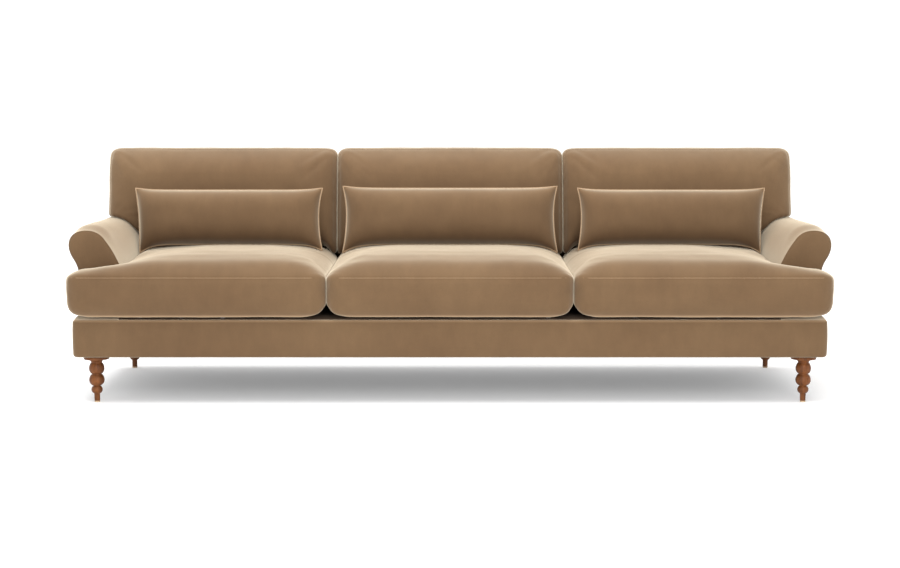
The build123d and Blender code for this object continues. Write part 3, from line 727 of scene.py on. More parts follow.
def blow_up(piece, held, pressure, cap):
    """Cloth under pressure, with held vertices kept, and every move capped."""
    start = points_of(piece)
    group = piece.vertex_groups.new(name="sewn")
    group.add([int(i) for i in np.nonzero(held)[0]], 1.0, "REPLACE")
    cloth = piece.modifiers.new("cloth", "CLOTH")
    settings = cloth.settings
    settings.quality = 4
    settings.mass = 0.3
    settings.tension_stiffness = 12.0
    settings.compression_stiffness = 12.0
    settings.shear_stiffness = 5.0
    settings.bending_stiffness = 0.3
    settings.use_pressure = True
    settings.uniform_pressure_force = pressure
    settings.effector_weights.gravity = 0.0
    settings.vertex_group_mass = "sewn"
    cloth.collision_settings.use_collision = False
    cloth.point_cache.frame_start = 1
    cloth.point_cache.frame_end = SIM_FRAMES
    for i in range(1, SIM_FRAMES + 1):
        scene.frame_set(i)
    applied(piece)
    scene.frame_set(1)
    soften = piece.modifiers.new("soften", "SMOOTH")
    soften.factor, soften.iterations = 0.5, 4
    applied(piece)
    moved = points_of(piece) - start
    moved[held] = 0.0
    length = np.linalg.norm(moved, axis=1)
    moved *= (np.minimum(length, cap) / np.maximum(length, 1e-9))[:, None]
    move_points(piece, start + moved)
    print(piece.name, "swelled at most", round(1000 * float(min(length.max(), cap)), 1), "mm")


def meet_neighbours(piece, kind):
    """Fills a row's cushion out to the planes where it presses against the next one."""
    plane = (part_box(f"centre_{kind}_cover")[1].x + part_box(f"right_{kind}_cover")[0].x) / 2
    places, normals = points_of(piece), normals_of(piece)
    for split in (-plane, plane):
        outward = math.copysign(1.0, split - places[:, 0].mean())
        facing = eased(normals[:, 0] * outward, 0.86, 0.98) * (np.abs(places[:, 0] - split) < 0.03)
        places[:, 0] += facing * (split - 0.0002 * outward - places[:, 0])
    move_points(piece, places)


def finer(piece):
    """One live level of subdivision."""
    modifier = piece.modifiers.new("finer", "SUBSURF")
    modifier.levels = modifier.render_levels = 1
    return piece


# %% [markdown]
# A sewn line shows as a soft groove with a thin ridge in it. A groove drawn in the finish would be flat
# from the side, so the cover is pressed in near the line, and a fine cord follows the cut of a plane
# through the cushion.

# %% Seams
SEAM_STEP = 0.008


def press_seam(piece, distance, width, depth, where):
    """Presses a soft groove where distance is near zero."""
    places, normals = points_of(piece), normals_of(piece)
    near = np.where(where, np.clip(1 - (distance / width) ** 2, 0, 1) ** 1.5, 0.0)
    move_points(piece, places - normals * (depth * near)[:, None])


def loop_at(piece, point, normal):
    """The closed line where a plane cuts a piece, as ordered places."""
    bm = bmesh.new()
    bm.from_mesh(piece.data)
    geometry = bm.verts[:] + bm.edges[:] + bm.faces[:]
    cut = bmesh.ops.bisect_plane(
        bm, geom=geometry, plane_co=point, plane_no=normal, clear_outer=True, clear_inner=True
    )
    left = {e for e in cut["geom_cut"] if isinstance(e, bmesh.types.BMEdge)}
    lines = []
    while left:
        line = list(left.pop().verts)
        while True:
            following = [e for e in line[-1].link_edges if e in left]
            if not following:
                break
            left.discard(following[0])
            line.append(following[0].other_vert(line[-1]))
        lines.append([v.co.copy() for v in line])
    bm.free()
    return max(lines, key=len)


def even_line(places):
    """The same closed line with points about a step apart, and its small jogs smoothed."""
    rows = np.array([tuple(p) for p in places])
    if np.linalg.norm(rows[0] - rows[-1]) < 1e-6:
        rows = rows[:-1]
    for _ in range(3):
        rows = (np.roll(rows, 1, 0) + 2 * rows + np.roll(rows, -1, 0)) / 4
    closed = np.vstack([rows, rows[:1]])
    along = np.concatenate([[0], np.cumsum(np.linalg.norm(np.diff(closed, axis=0), axis=1))])
    count = max(12, int(along[-1] / SEAM_STEP))
    wanted = np.linspace(0, along[-1], count, endpoint=False)
    return np.stack([np.interp(wanted, along, closed[:, i]) for i in range(3)], 1)


# %% [markdown]
# ## Seat cushions
# A boxed foam cushion: a crowned top panel sewn to a band. The sewn line runs level round the band near
# its top. The outer cushions have an ear in front of the arm, stuffed less than the rest; the left one is
# the right one's mirror image. The simulation swells all sides alike, so the round front edge and the
# hanging lower lip are shaped after it.

# %% Seat cushions
seat_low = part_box("centre_seat_cover")[0]
arm_low, arm_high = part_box("right_arm_cover")
SEAT_VOXEL, SEAT_GROW = 0.010, 0.0030
SEAT_PRESSURE, SEAT_CAP = 3.0, 0.006
SEAT_SEAM_Z = seat_low.z + 0.140
SEAT_SEAM_R = 0.0005
SEAT_GROOVE, SEAT_GROOVE_WIDE = 0.0006, 0.010
SHOULDER, SHOULDER_WIDE = 0.004, 0.055  # filling packed up behind the front edge
SHOULDER_Y = seat_low.y + 0.050
FRONT_PUFF, PUFF_TALL = 0.010, 0.06  # the slope between the sewn line and the top
ROUND_STEPS = 60
EAR_DIP = 0.009
ear_from, ear_full, ear_fades, ear_to = (arm_low.x + step for step in (-0.136, 0.014, 0.094, 0.164))
LIP_DROP = 0.0105  # the front edge hangs a little before the base
LIP_BEHIND, LIP_BEFORE = 0.015, 0.008  # from behind the base's front to before it
PILLOWS_FROM = -0.04  # the pillows stand on the seats behind this line


def round_front(piece):
    """Swells and rounds the slope between the sewn line and the top at the front."""
    places, normals = points_of(piece), normals_of(piece)
    slope = np.sin(np.pi * np.clip((places[:, 2] - SEAT_SEAM_Z) / PUFF_TALL, 0.0, 1.0))
    slope *= eased(-normals[:, 1], 0.15, 0.5)
    move_points(piece, places + normals * (FRONT_PUFF * slope)[:, None])
    _, y, z = points_of(piece).T
    share = eased(z, SEAT_SEAM_Z + 0.006, SEAT_SEAM_Z + 0.03)
    share *= 1 - eased(y, seat_low.y + 0.09, seat_low.y + 0.16)
    group = piece.vertex_groups.new(name="front_edge")
    for i in np.nonzero(share)[0]:
        group.add([int(i)], float(share[i]), "REPLACE")
    rounder = piece.modifiers.new("rounder", "SMOOTH")
    rounder.factor, rounder.iterations, rounder.vertex_group = 0.5, ROUND_STEPS, group.name
    applied(piece)


def stuff_top(piece):
    """Packs filling up behind the front edge, and less of it into the ear."""
    places = points_of(piece)
    above = eased(places[:, 2], SEAT_SEAM_Z, SEAT_SEAM_Z + 0.045)
    places[:, 2] += SHOULDER * above * np.exp(-(((places[:, 1] - SHOULDER_Y) / SHOULDER_WIDE) ** 2))
    ear = eased(places[:, 0], ear_from, ear_full) * (1 - eased(places[:, 0], ear_fades, ear_to))
    places[:, 2] -= EAR_DIP * ear * above * (1 - eased(places[:, 1], -0.20, -0.06))
    move_points(piece, places)


def rest_on_deck(piece):
    """Presses the underside flat on the deck."""
    places = points_of(piece)
    places[:, 2] = np.maximum(places[:, 2], seat_low.z - 0.0003)
    move_points(piece, places)


def drop_lip(piece):
    """Lets the lower front edge hang in front of the base."""
    places = points_of(piece)
    lip = 1 - eased(places[:, 1], base_low.y - LIP_BEFORE, base_low.y + LIP_BEHIND)
    lip *= 1 - eased(places[:, 2], seat_low.z + 0.03, seat_low.z + 0.09)
    places[:, 2] -= LIP_DROP * lip
    move_points(piece, places)


def seat_cushion(side, seed):
    """One seat cushion, swelled between its sewn line, its underside and what presses on it."""
    piece = soft_copy(f"{side}_seat_cushion", f"{side}_seat_filling", SEAT_VOXEL, SEAT_GROW)
    x, y, z = points_of(piece).T
    sewn = (np.abs(z - SEAT_SEAM_Z) < 0.007) | (z < seat_low.z + 0.012)
    beside_arm = (x > arm_low.x - 0.02) & (y > panel_low.y - 0.02)
    blow_up(piece, sewn | beside_arm | (y > PILLOWS_FROM), SEAT_PRESSURE, SEAT_CAP)
    round_front(piece)
    free = np.where(points_of(piece)[:, 1] > PILLOWS_FROM, 0.3, 1.0)
    wander(piece, (0.0012, 0.16, seed), (0.0005, 0.05, seed + 7), share=free)
    stuff_top(piece)
    keep_within(piece, f"{side}_seat_cover")
    rest_on_deck(piece)
    meet_neighbours(piece, "seat")
    upright = np.abs(normals_of(piece)[:, 2]) < 0.85
    press_seam(piece, points_of(piece)[:, 2] - SEAT_SEAM_Z, SEAT_GROOVE_WIDE, SEAT_GROOVE, upright)
    drop_lip(piece)
    return piece


def seat_seam(piece, side):
    """The sewn line round a seat cushion, as a fine cord."""
    line = even_line(loop_at(piece, (0, 0, SEAT_SEAM_Z), (0, 0, 1)))
    # the cord's paler velvet is a painted highlight for the sheen along the seam
    return tube(f"{side}_seat_seam", line, SEAT_SEAM_R, sheen_painted_velvet, closed=True)


right_seat = seat_cushion("right", 1)
centre_seat = seat_cushion("centre", 2)
left_seat = mirrored(right_seat, "left_seat_cushion")
for side, cushion in zip(SIDES, (left_seat, centre_seat, right_seat)):
    belongs(seat_seam(cushion, side), f"{side}_seat", "velvet")
    belongs(finer(cushion), f"{side}_seat", "velvet", f"{side}_seat_cover", f"{side}_seat_filling")
    tell(cushion)

# %% [markdown]
# ## How the arms are stuffed
# At its front the arm's padding follows the board; behind that it swells, on top and most on its inner
# side. The back cushions lie on the arms. Shaping the two by hand would leave gaps, so the same swelling
# is worked out for any point and used for both.

# %% Arm padding
ROLL_R = 0.066
SLOPE = math.radians(58.0)
ROLL_X, ROLL_Z = arm_high.x - ROLL_R, arm_high.z - ROLL_R
TOP_SWELL = 0.013  # on top of the roll
SIDE_SWELL = 0.027  # on its inner side, at the back
FRONT_SWELL = 0.0065  # on the inner side of the board itself
TOP_FULL = 0.10  # how far behind the board the top is full
THIN_FROM, SWELL_END = 0.15, 0.46  # the top thins between these, and the side grows to the second
THINNED = 0.6  # the share that the top loses
SIDE_FULL, SIDE_FADE = 0.6, 0.3  # shares of the way down the inner side
ARM_REACH = 0.06  # how far above the arm a cushion still gives way


def arm_padding(x, z, behind):
    """The padding beyond the right arm's outline near points, some way behind its front board.

    Gives its thickness, its tilt and how far out the points are.
    """
    across, up = ROLL_X - x, z - ROLL_Z
    tilt = np.clip(np.arctan2(across, np.maximum(up, 1e-6)), 0.0, SLOPE)
    ahead = across * np.sin(tilt) + up * np.cos(tilt) - ROLL_R
    inward = np.clip((across - ahead * np.sin(tilt)) / (ROLL_X - arm_low.x), 0.0, 1.0)
    side = np.clip(inward / SIDE_FULL, 0.0, 1.0) ** 2
    fade = 1 - np.clip((inward - SIDE_FULL) / SIDE_FADE, 0.0, 1.0) ** 2
    on_top = TOP_SWELL * eased(behind, 0.0, TOP_FULL) * (1 - THINNED * eased(behind, THIN_FROM, SWELL_END))
    on_top = on_top * np.where(across > 0, 1 - side, eased(up / ROLL_R, 0.0, 0.75))
    on_side = side * (FRONT_SWELL + (SIDE_SWELL - FRONT_SWELL) * eased(behind, 0.0, SWELL_END))
    return (on_top + on_side) * fade, tilt, ahead


def lie_on_arm(piece):
    """Pushes the right back cushion off the padding of the arm that it lies on."""
    places = points_of(piece)
    thickness, tilt, ahead = arm_padding(places[:, 0], places[:, 2], places[:, 1] - arm_low.y)
    pushed = thickness * np.clip(1 - ahead / ARM_REACH, 0.0, 1.0) * (places[:, 0] > arm_low.x - 0.03)
    places[:, 0] -= pushed * np.sin(tilt)
    places[:, 2] += pushed * np.cos(tilt)
    move_points(piece, places)


# %% [markdown]
# ## Back cushions
# They are boxed too, but softer, and lean on the inside back. Their sewn lines lie in planes parallel to
# the back, so the groove and the cord are placed by distance from the leaning plane. Left as boxes they
# would look new and hard, so the top front edge rolls back, and the lower corners sag where two seats
# meet.

# %% Back cushions
BACK_LEAN = math.radians(12.0)
back_out = Vector((0.0, -math.cos(BACK_LEAN), math.sin(BACK_LEAN)))
back_up = Vector((0.0, math.sin(BACK_LEAN), math.cos(BACK_LEAN)))
back_places = points_of(nodes["centre_back_cover"])
back_face = float((back_places @ np.array(back_out)).min())
back_foot = float((back_places @ np.array(back_up)).min())
back_tall = float((back_places @ np.array(back_up)).max()) - back_foot
seat_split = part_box("centre_seat_cover")[1].x
BACK_VOXEL, BACK_GROW = 0.009, 0.0034
BACK_PRESSURE, BACK_CAP = 3.0, 0.006
BACK_DEPTH = 0.215
FRONT_SEAM = 0.80 * BACK_DEPTH
BACK_SEAM_R = 0.0010
BACK_GROOVE, BACK_GROOVE_WIDE = 0.0022, 0.012
TOP_ROLL, TOP_ROLL_TALL = 0.042, 0.16
CORNER_SAG, SAG_WIDE, SAG_TALL = 0.055, 0.036, 0.14


def depth_in(places):
    """Distance in front of the back cushions' rear faces."""
    return np.asarray(places) @ np.array(back_out) - back_face


def up_in(places):
    """Distance up the leaning back from the back cushions' lower edges."""
    return np.asarray(places) @ np.array(back_up) - back_foot


def back_cushion(side, seed):
    """One back cushion, swelled between its sewn line, its rear face and the arm."""
    piece = soft_copy(f"{side}_back_cushion", f"{side}_back_filling", BACK_VOXEL, BACK_GROW)
    places = points_of(piece)
    depth = depth_in(places)
    over_arm = (places[:, 0] > arm_low.x - 0.03) & (places[:, 2] < arm_high.z + 0.02)
    held = (np.abs(depth - FRONT_SEAM) < 0.006) | (depth < 0.012) | (up_in(places) < 0.02) | over_arm
    blow_up(piece, held, BACK_PRESSURE, BACK_CAP)
    wander(piece, (0.0016, 0.12, seed), (0.0007, 0.04, seed + 5))
    keep_within(piece, f"{side}_back_cover")
    if side == "right":
        lie_on_arm(piece)
    meet_neighbours(piece, "back")
    around = np.abs(normals_of(piece) @ np.array(back_out)) < 0.9
    press_seam(piece, depth_in(points_of(piece)) - FRONT_SEAM, BACK_GROOVE_WIDE, BACK_GROOVE, around)
    return piece


def settled(places):
    """Places after the filling has sunk: the top front rolls back, and corners drop between two seats."""
    rolled = np.clip(1 + (up_in(places) - back_tall) / TOP_ROLL_TALL, 0, 1) ** 3
    rolled *= eased(depth_in(places), 0.05, BACK_DEPTH)
    places = places - (TOP_ROLL * rolled)[:, None] * np.array(back_out)
    from_split = np.abs(np.abs(places[:, 0]) - seat_split)
    sag = CORNER_SAG * np.exp(-((from_split / SAG_WIDE) ** 2)) * (1 - eased(up_in(places), 0.0, SAG_TALL))
    sag *= eased(depth_in(places), 0.05, 0.16)
    return places - sag[:, None] * np.array(back_up)


def back_seam(piece, side):
    """The sewn line round the front panel of a back cushion, settled as the cushion will be."""
    line = even_line(loop_at(piece, back_out * (back_face + FRONT_SEAM), back_out))
    return tube(f"{side}_back_seam", settled(line), BACK_SEAM_R, tan_velvet, closed=True)


right_back = back_cushion("right", 3)
centre_back = back_cushion("centre", 4)
left_back = mirrored(right_back, "left_back_cushion")
for side, cushion in zip(SIDES, (left_back, centre_back, right_back)):
    belongs(back_seam(cushion, side), f"{side}_back", "velvet")
    move_points(cushion, settled(points_of(cushion)))
    belongs(finer(cushion), f"{side}_back", "velvet", f"{side}_back_cover", f"{side}_back_filling")
    tell(cushion)

# %% [markdown]
# ## Lumbar pillows
# A knife-edged pillow is two flat panels sewn together and stuffed. Its edges pull in between the
# corners, and the corners stay thin and pointed. A swelled box could not end so thin, so a grid is bowed
# and crowned for the front, and its copy, turned over, is the back. A cord of paler velvet follows the sewn
# edge; its paler colour is a painted highlight for the sheen along that edge.

# %% Lumbar pillows
PILLOW_CUTS = (96, 36)  # along and up
PILLOW_PRESSURE, PILLOW_CAP = 2.0, 0.003
LUMBAR_DROOP = 0.033  # the lower corners hang over the falling edge of the seat
INNER_DROOP = 0.024  # less where an outer pillow ends well inside its seat
LUMBAR_BOW = 0.008  # the upper edge is pulled in between the corners
END_PULL, OUTER_PULL = 0.014, 0.004  # and the ends, less at the outer pillows' outer ones
LUMBAR_FLARE = 0.020  # the outer pillows' upper ends reach over the arms
OUTER_LOW = 0.007  # the outer pillows' upper edges lie lower
PRESSED = 0.94  # the rear panel's fullness, pressed against the back cushion
EDGE_R = 0.0024


def pillow_space(side):
    """Where a pillow's solid lies: its middle, half sizes and outward side."""
    rows = points_of(nodes[f"{side}_lumbar_cover"])
    rows = np.stack([rows[:, 0], up_in(rows), depth_in(rows)], 1)
    low, high = rows.min(0), rows.max(0)
    outward = {"left": -1.0, "centre": 0.0, "right": 1.0}[side]
    low[0] += LUMBAR_FLARE * (outward < 0)
    high[0] -= LUMBAR_FLARE * (outward > 0)
    low[1] += 0.4 * EDGE_R
    high[1] -= EDGE_R
    return (low + high) / 2, (high - low) / 2, outward


def pillow_point(space, u, w, layer):
    """A point of a pillow: u along it, w up it, and layer 1 in front, 0 on the sewn edge, -1 behind."""
    (middle, mid_up, mid_depth), (wide, tall, thick), outward = space
    pull = OUTER_PULL if outward * u > 0 else END_PULL
    x = middle + u * (wide - pull * (1 - w * w))
    x += outward * LUMBAR_FLARE * (1 + outward * u) / 2 * (1 + w) / 2
    hang = LUMBAR_DROOP if outward * u >= 0 else INNER_DROOP
    droop = hang * abs(u) ** 9 if w < 0 else -LUMBAR_BOW * (1 - u ** 8) - OUTER_LOW * abs(outward)
    fall_u = max(0.0, 1 - abs(u) ** 4.0) ** 0.55
    fall_w = max(0.0, 1 - abs(w) ** 3.0) ** 0.60
    depth = back_face + mid_depth + layer * thick * fall_u * fall_w
    place = back_out * depth + back_up * (back_foot + mid_up + w * (tall + droop))
    return Vector((x, place.y, place.z))


def pillow_panels(space):
    """Both panels of a pillow, sewn together, with a crease along the edge."""
    bm = bmesh.new()
    bmesh.ops.create_grid(bm, x_segments=PILLOW_CUTS[0], y_segments=PILLOW_CUTS[1], size=1.0)
    front = bm.verts[:]
    copy = bmesh.ops.duplicate(bm, geom=bm.verts[:] + bm.edges[:] + bm.faces[:])["geom"]
    rear = [v for v in copy if isinstance(v, bmesh.types.BMVert)]
    bmesh.ops.reverse_faces(bm, faces=[f for f in copy if isinstance(f, bmesh.types.BMFace)])
    for verts, layer in ((front, 1.0), (rear, -PRESSED)):
        for v in verts:
            v.co = pillow_point(space, v.co.x, v.co.y, layer)
    bmesh.ops.remove_doubles(bm, verts=bm.verts, dist=1e-6)
    crease = bm.edges.layers.float.new("crease_edge")
    point = bm.verts.layers.float.new("crease_vert")
    edge_depth = back_face + space[0][2]
    for e in bm.edges:
        e[crease] = float(all(abs(v.co.dot(back_out) - edge_depth) < 1e-5 for v in e.verts))
    for v in bm.verts:
        v[point] = float(sum(e[crease] for e in v.link_edges) == len(v.link_edges))
    return bm


def lumbar_pillow(side, seed):
    """A stuffed pillow in the space of its solid, and the cord along its sewn edge."""
    space = pillow_space(side)
    piece = as_piece(pillow_panels(space), f"{side}_lumbar_pillow", tan_velvet)
    held = depth_in(points_of(piece)) - space[0][2] < 0.002
    blow_up(piece, held, PILLOW_PRESSURE, PILLOW_CAP)
    wander(piece, (0.0012, 0.09, seed), (0.0005, 0.035, seed + 3), share=np.where(held, 0.0, 1.0))
    along, up = (np.linspace(-1, 1, cuts + 1)[:-1] for cuts in PILLOW_CUTS)
    rim = [(u, 1.0) for u in along] + [(1.0, -w) for w in up]
    rim += [(-u, -1.0) for u in along] + [(-1.0, w) for w in up]
    line = [pillow_point(space, u, w, 0.0) for u, w in rim]
    # the cord's paler velvet is a painted highlight for the sheen along the sewn edge
    return piece, tube(f"{side}_lumbar_edge", line, EDGE_R, sheen_painted_velvet, closed=True)


for seed, side in enumerate(SIDES, 10):
    pillow, edge = lumbar_pillow(side, seed)
    belongs(edge, f"{side}_lumbar", "velvet")
    belongs(finer(pillow), f"{side}_lumbar", "velvet", f"{side}_lumbar_cover", f"{side}_lumbar_filling")
    tell(pillow)

# %% [markdown]
# ## Arms
# A rolled arm is padding pulled over a shaped board. Its outline is drawn once, from the inner foot over
# the roll to the outer foot, with one spin for each arc. One long extrusion would be stiff and straight,
# so outlines at several depths are bridged: close together at the front, where the stuffing rolls over
# the edge of the board, and wide apart along the arm.

# %% Arm outline
KNEE_R = 0.060
UNDER_TURN = math.radians(40.0)
ARM_OUT = 1.312
OUTER_LIFT = 0.014  # the roll is fullest high on its outer side
KNEE_X = arm_low.x + KNEE_R
KNEE_Z = ROLL_Z + (KNEE_X - ROLL_X) * math.tan(SLOPE) + (ROLL_R - KNEE_R) / math.cos(SLOPE)
UNDER_R = (ROLL_X + ROLL_R * math.cos(UNDER_TURN) - ARM_OUT) / (1 - math.cos(UNDER_TURN))
UNDER_X, UNDER_Z = ARM_OUT + UNDER_R, ROLL_Z - (ROLL_R + UNDER_R) * math.sin(UNDER_TURN)
print("the roll's radius is", ROLL_R, "m, and the hollow's below it", round(UNDER_R, 4), "m")


def draw_arm(bm, inset, y, closed=True):
    """Draws the right arm's stuffed outline at a depth, set in by inset, and gives its edges."""
    before = set(bm.edges)
    first = bm.verts.new((arm_low.x + inset, y, arm_low.z))
    last = [first]

    def straight(to, steps):
        start, end = last[0].co.copy(), Vector(to)
        for i in range(1, steps + 1):
            made = bmesh.ops.extrude_vert_indiv(bm, verts=last)["verts"]
            made[0].co = start.lerp(end, i / steps)
            last[:] = made

    def turn(centre, angle, steps):
        made = bmesh.ops.spin(
            bm, geom=last, cent=(centre[0], y, centre[1]), axis=(0, 1, 0), angle=angle, steps=steps
        )
        last[:] = [v for v in made["geom_last"] if isinstance(v, bmesh.types.BMVert)]

    def on_roll(radius):
        return ROLL_X - radius * math.sin(SLOPE), y, ROLL_Z + radius * math.cos(SLOPE)

    straight((arm_low.x + inset, y, KNEE_Z), 4)
    turn((KNEE_X, KNEE_Z), math.pi / 2 - SLOPE, 6)
    straight(on_roll(ROLL_R - inset), 3)
    turn((ROLL_X, ROLL_Z), SLOPE + math.pi / 2 + UNDER_TURN, 30)
    turn((UNDER_X, UNDER_Z), -UNDER_TURN, 8)
    straight((last[0].co.x, y, arm_low.z), 4)
    if closed:
        bm.edges.new((last[0], first))
    made = [e for e in bm.edges if e not in before]
    for v in {v for e in made for v in e.verts}:
        thickness, tilt, _ = arm_padding(v.co.x, v.co.z, y - arm_low.y)
        outward = max(0.0, (v.co.x - ROLL_X) / ROLL_R)
        lift = OUTER_LIFT * outward ** 1.6 * float(eased(v.co.z, arm_low.z, ROLL_Z))
        v.co += Vector((-math.sin(tilt), 0.0, math.cos(tilt))) * float(thickness) + Vector((0.0, 0.0, lift))
    return made


def bridged(bm, rings):
    """Bridges outlines one after the other and closes both ends."""
    for near, far in zip(rings, rings[1:]):
        bmesh.ops.bridge_loops(bm, edges=near + far)
    bmesh.ops.holes_fill(bm, edges=rings[0] + rings[-1], sides=0)
    bmesh.ops.recalc_face_normals(bm, faces=bm.faces)


# %% [markdown]
# The cover of the roll turns in over the edge of the board, so the first few outlines are set in and lie a
# little before it. The rear end leans with the back: outlines drawn aslant would lose their round arcs, so
# they are drawn upright and the points are moved back by their height afterwards.

# %% Arm covers
ROLLED_EDGE = (
    (0.0042, 0.0), (0.0030, -0.0032), (0.0016, -0.0042), (0.0004, -0.0034), (0.0, -0.001), (0.0, 0.004),
    (0.0, 0.012),
)  # inset, and depth behind the front board
FINE_STEP, FINE_TO = 0.012, 0.12  # rings where the padding swells
WIDE_STEP = 0.03  # and behind that


def arm_cover():
    """The padded roll and both sides of the right arm, up to the leaning back."""
    bm = bmesh.new()
    board = panel_high.y
    rings = [draw_arm(bm, inset, board + depth) for inset, depth in ROLLED_EDGE]
    foot_end = arm_high.y - (arm_high.z - arm_low.z) * math.tan(BACK_LEAN)
    depths = spaced(board + FINE_STEP, board + FINE_TO, FINE_STEP)
    depths += spaced(board + FINE_TO - WIDE_STEP, foot_end, WIDE_STEP) + [foot_end]
    rings += [draw_arm(bm, 0.0, y) for y in depths]
    bridged(bm, rings)
    for v in bm.verts:
        along = max(0.0, (v.co.y - board) / (foot_end - board))
        v.co.y += along * (v.co.z - arm_low.z) * math.tan(BACK_LEAN)
    piece = as_piece(bm, "right_arm_padding", tan_velvet)
    wander(piece, (0.0007, 0.13, 21))
    return piece


right_arm = arm_cover()
left_arm = mirrored(right_arm, "left_arm_padding")
for side, arm in (("left", left_arm), ("right", right_arm)):
    belongs(finer(arm), "frame", "pad", f"{side}_arm_cover")
    tell(arm)

# %% [markdown]
# The front of the arm is a separate panel, padded a little and sewn to the roll with a narrow welt of the
# same velvet. The same outline, set in step by step, gives the panel its crown, and drawn open it carries
# the welt.

# %% Arm fronts and welts
CROWNED_PANEL = (
    (0.0036, 0.0055), (0.0042, 0.0020), (0.0065, 0.0004), (0.0140, -0.0010), (0.0300, -0.0022),
)  # inset, and depth behind the panel's front
WELT_R, WELT_INSET, WELT_DEPTH = 0.0013, 0.0034, 0.0024


def arm_front():
    """The crowned panel on the front of the right arm."""
    bm = bmesh.new()
    bridged(bm, [draw_arm(bm, inset, panel_low.y + depth) for inset, depth in CROWNED_PANEL])
    return as_piece(bm, "right_arm_front", tan_velvet)


def arm_welt():
    """The narrow welt round the right arm's front panel."""
    bm = bmesh.new()
    draw_arm(bm, WELT_INSET, panel_low.y + WELT_DEPTH, closed=False)
    line = [v.co.copy() for v in bm.verts]
    bm.free()
    return tube("right_arm_piping", line, WELT_R, tan_velvet)


right_front, right_welt = arm_front(), arm_welt()
left_front, left_welt = mirrored(right_front, "left_arm_front"), mirrored(right_welt, "left_arm_piping")
for side, panel, welt in (("left", left_front, left_welt), ("right", right_front, right_welt)):
    belongs(panel, "frame", "pad", f"{side}_arm_front_panel")
    belongs(welt, "frame", "pad", f"{side}_arm_welt")
    tell(panel)

# %% [markdown]
# ## Back
# Behind the loose cushions the back is one upholstered wedge: padded inside, tight cloth outside, narrow
# at the top. Three separate panels would show their joins. Its outline from the side has four corners, so
# extruding that along the sofa and rounding the edges gives the form in one piece.

# %% Upholstered back
BEHIND = 0.003  # the padding yields this much to the cushions
REAR_FOOT = 0.009  # the tight cloth behind starts this far back
WEDGE_R = 0.014
WEDGE_CUT = 0.04


def upholstered_back():
    """The wedge behind the cushions."""
    pad_low, pad_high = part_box("inside_back_pad")
    rear_low, rear_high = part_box("outside_back_panel")
    rows = points_of(nodes["inside_back_pad"])
    foot = rows[np.abs(rows[:, 2] - pad_low.z) < 1e-4]
    crest = rows[np.abs(rows[:, 2] - pad_high.z) < 1e-4]
    outline = [
        (foot[:, 1].min() + BEHIND, pad_low.z),
        (rear_low.y + REAR_FOOT, pad_low.z),
        (rear_high.y, rear_high.z),
        (crest[:, 1].min() + BEHIND, pad_high.z),
    ]
    bm = bmesh.new()
    face = bm.faces.new([bm.verts.new((pad_low.x, y, z)) for y, z in outline])
    made = bmesh.ops.extrude_face_region(bm, geom=[face])["geom"]
    moved = [v for v in made if isinstance(v, bmesh.types.BMVert)]
    bmesh.ops.translate(bm, vec=(pad_high.x - pad_low.x, 0.0, 0.0), verts=moved)
    bmesh.ops.recalc_face_normals(bm, faces=bm.faces)
    round_edges(bm, bm.edges[:], WEDGE_R, 4)
    for axis in (0, 2):
        cut_along(bm, axis, spaced(pad_low[axis] + 0.02, pad_high[axis] - 0.02, WEDGE_CUT))
    piece = as_piece(bm, "upholstered_back", tan_velvet)
    wander(piece, (0.0012, 0.2, 31))
    return belongs(piece, "frame", "pad", "inside_back_pad", "outside_back_panel", "back_side_panels")


tell(upholstered_back())

# %% [markdown]
# ## Springs
# Sinuous springs carry the seats. The model's wire is finely faceted, which no one sees between the deck
# and the dust cover, so a copy with fewer facets takes its place and keeps every bend.

# %% Spring wires
WIRE_SHARE = 0.3  # of the facets


def spring_wires(side):
    """A seat's springs with fewer facets on their wire."""
    piece = as_piece(welded(f"{side}_seat_springs", 1e-6), f"{side}_spring_wires", spring_wire)
    fewer = piece.modifiers.new("fewer", "DECIMATE")
    fewer.ratio = WIRE_SHARE
    return belongs(applied(piece), "frame", "spring_steel", f"{side}_seat_springs")


for side in SIDES:
    tell(spring_wires(side))

# %% [markdown]
# ## Deck
# A thin padded cloth lies over the springs and carries the seat cushions. It is a low block with rounded
# edges; cuts let its top sink a little between the springs, and its front edge is pulled down to the
# rail, where a straight edge would leave a slit.

# %% Seat deck
DECK_R, DECK_CUT = 0.002, 0.04
DECK_SINK = 0.0008
DECK_TUCK, TUCK_WIDE = 0.0065, 0.035  # the front edge is pulled down to the rail


def seat_deck():
    """The padded cloth over the springs."""
    low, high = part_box("seat_deck")
    bm = block(low, high)
    round_edges(bm, bm.edges[:], DECK_R, 3)
    for axis in (0, 1):
        cut_along(bm, axis, spaced(low[axis], high[axis], DECK_CUT))
    piece = as_piece(bm, "deck_pad", deck_cloth)
    places = points_of(piece)
    top = places[:, 2] > high.z - 0.001
    places[top, 2] -= DECK_SINK * (1 + soft_noise(places[top], 0.14, 41))
    places[:, 2] -= DECK_TUCK * (1 - eased(places[:, 1], low.y, low.y + TUCK_WIDE))
    move_points(piece, places)
    return belongs(piece, "frame", "deck_cloth", "seat_deck")


tell(seat_deck())

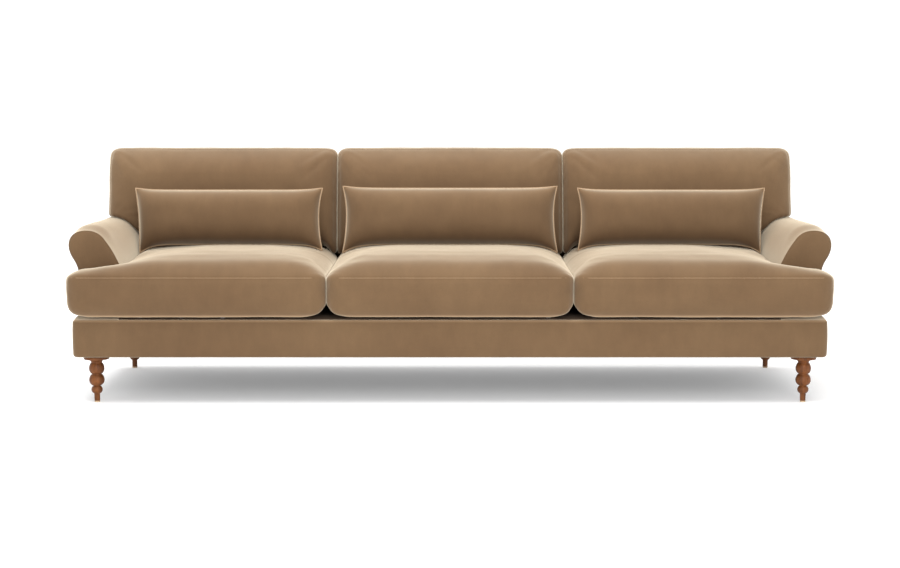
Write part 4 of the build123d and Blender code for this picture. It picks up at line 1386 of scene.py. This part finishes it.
# %% [markdown]
# ## Dust cover
# Below, a black spunbond cloth is stretched from rail to rail and stapled along its edge. It is taut, so
# a grid with faint ripples needs no simulation. Each staple shows only as a short piece of wire.

# %% Dust cover and staples
RIPPLE = 0.0003
STAPLE_STEP = 0.07
STAPLE_INSET = 0.008
STAPLE_R, STAPLE_LONG = 0.0005, 0.010


def dust_cover():
    """The black cloth under the base."""
    low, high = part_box("dust_cover")
    size, middle = high - low, (low + high) / 2
    bm = bmesh.new()
    bmesh.ops.create_grid(bm, x_segments=90, y_segments=32, size=0.5)
    bmesh.ops.scale(bm, vec=(size.x, size.y, 1.0), verts=bm.verts)
    bmesh.ops.translate(bm, vec=(middle.x, middle.y, high.z - RIPPLE), verts=bm.verts)
    bmesh.ops.reverse_faces(bm, faces=bm.faces)
    piece = as_piece(bm, "dust_cloth", black_cloth)
    places = points_of(piece)
    places[:, 2] -= RIPPLE * (1 + soft_noise(places, 0.12, 51))
    move_points(piece, places)
    return belongs(piece, "frame", "black_cloth", "dust_cover")


def staples():
    """Wire staples along the dust cover's edge."""
    low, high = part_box("dust_cover")
    places = []
    for x in spaced(low.x, high.x, STAPLE_STEP):
        places += [(x, low.y + STAPLE_INSET, 0.0), (x, high.y - STAPLE_INSET, 0.0)]
    for y in spaced(low.y, high.y, STAPLE_STEP):
        places += [(low.x + STAPLE_INSET, y, 90.0), (high.x - STAPLE_INSET, y, 90.0)]
    bm = bmesh.new()
    for x, y, turn in places:
        wire = bmesh.ops.create_cone(
            bm, cap_ends=True, segments=6, radius1=STAPLE_R, radius2=STAPLE_R, depth=STAPLE_LONG
        )["verts"]
        bmesh.ops.rotate(bm, cent=(0, 0, 0), matrix=Matrix.Rotation(math.pi / 2, 3, "Y"), verts=wire)
        bmesh.ops.rotate(bm, cent=(0, 0, 0), matrix=Matrix.Rotation(math.radians(turn), 3, "Z"), verts=wire)
        bmesh.ops.translate(bm, vec=(x, y, low.z + 0.0002), verts=wire)
    return belongs(as_piece(bm, "dust_cloth_staples", bright_steel), "frame", "steel")


tell(dust_cover())
tell(staples())
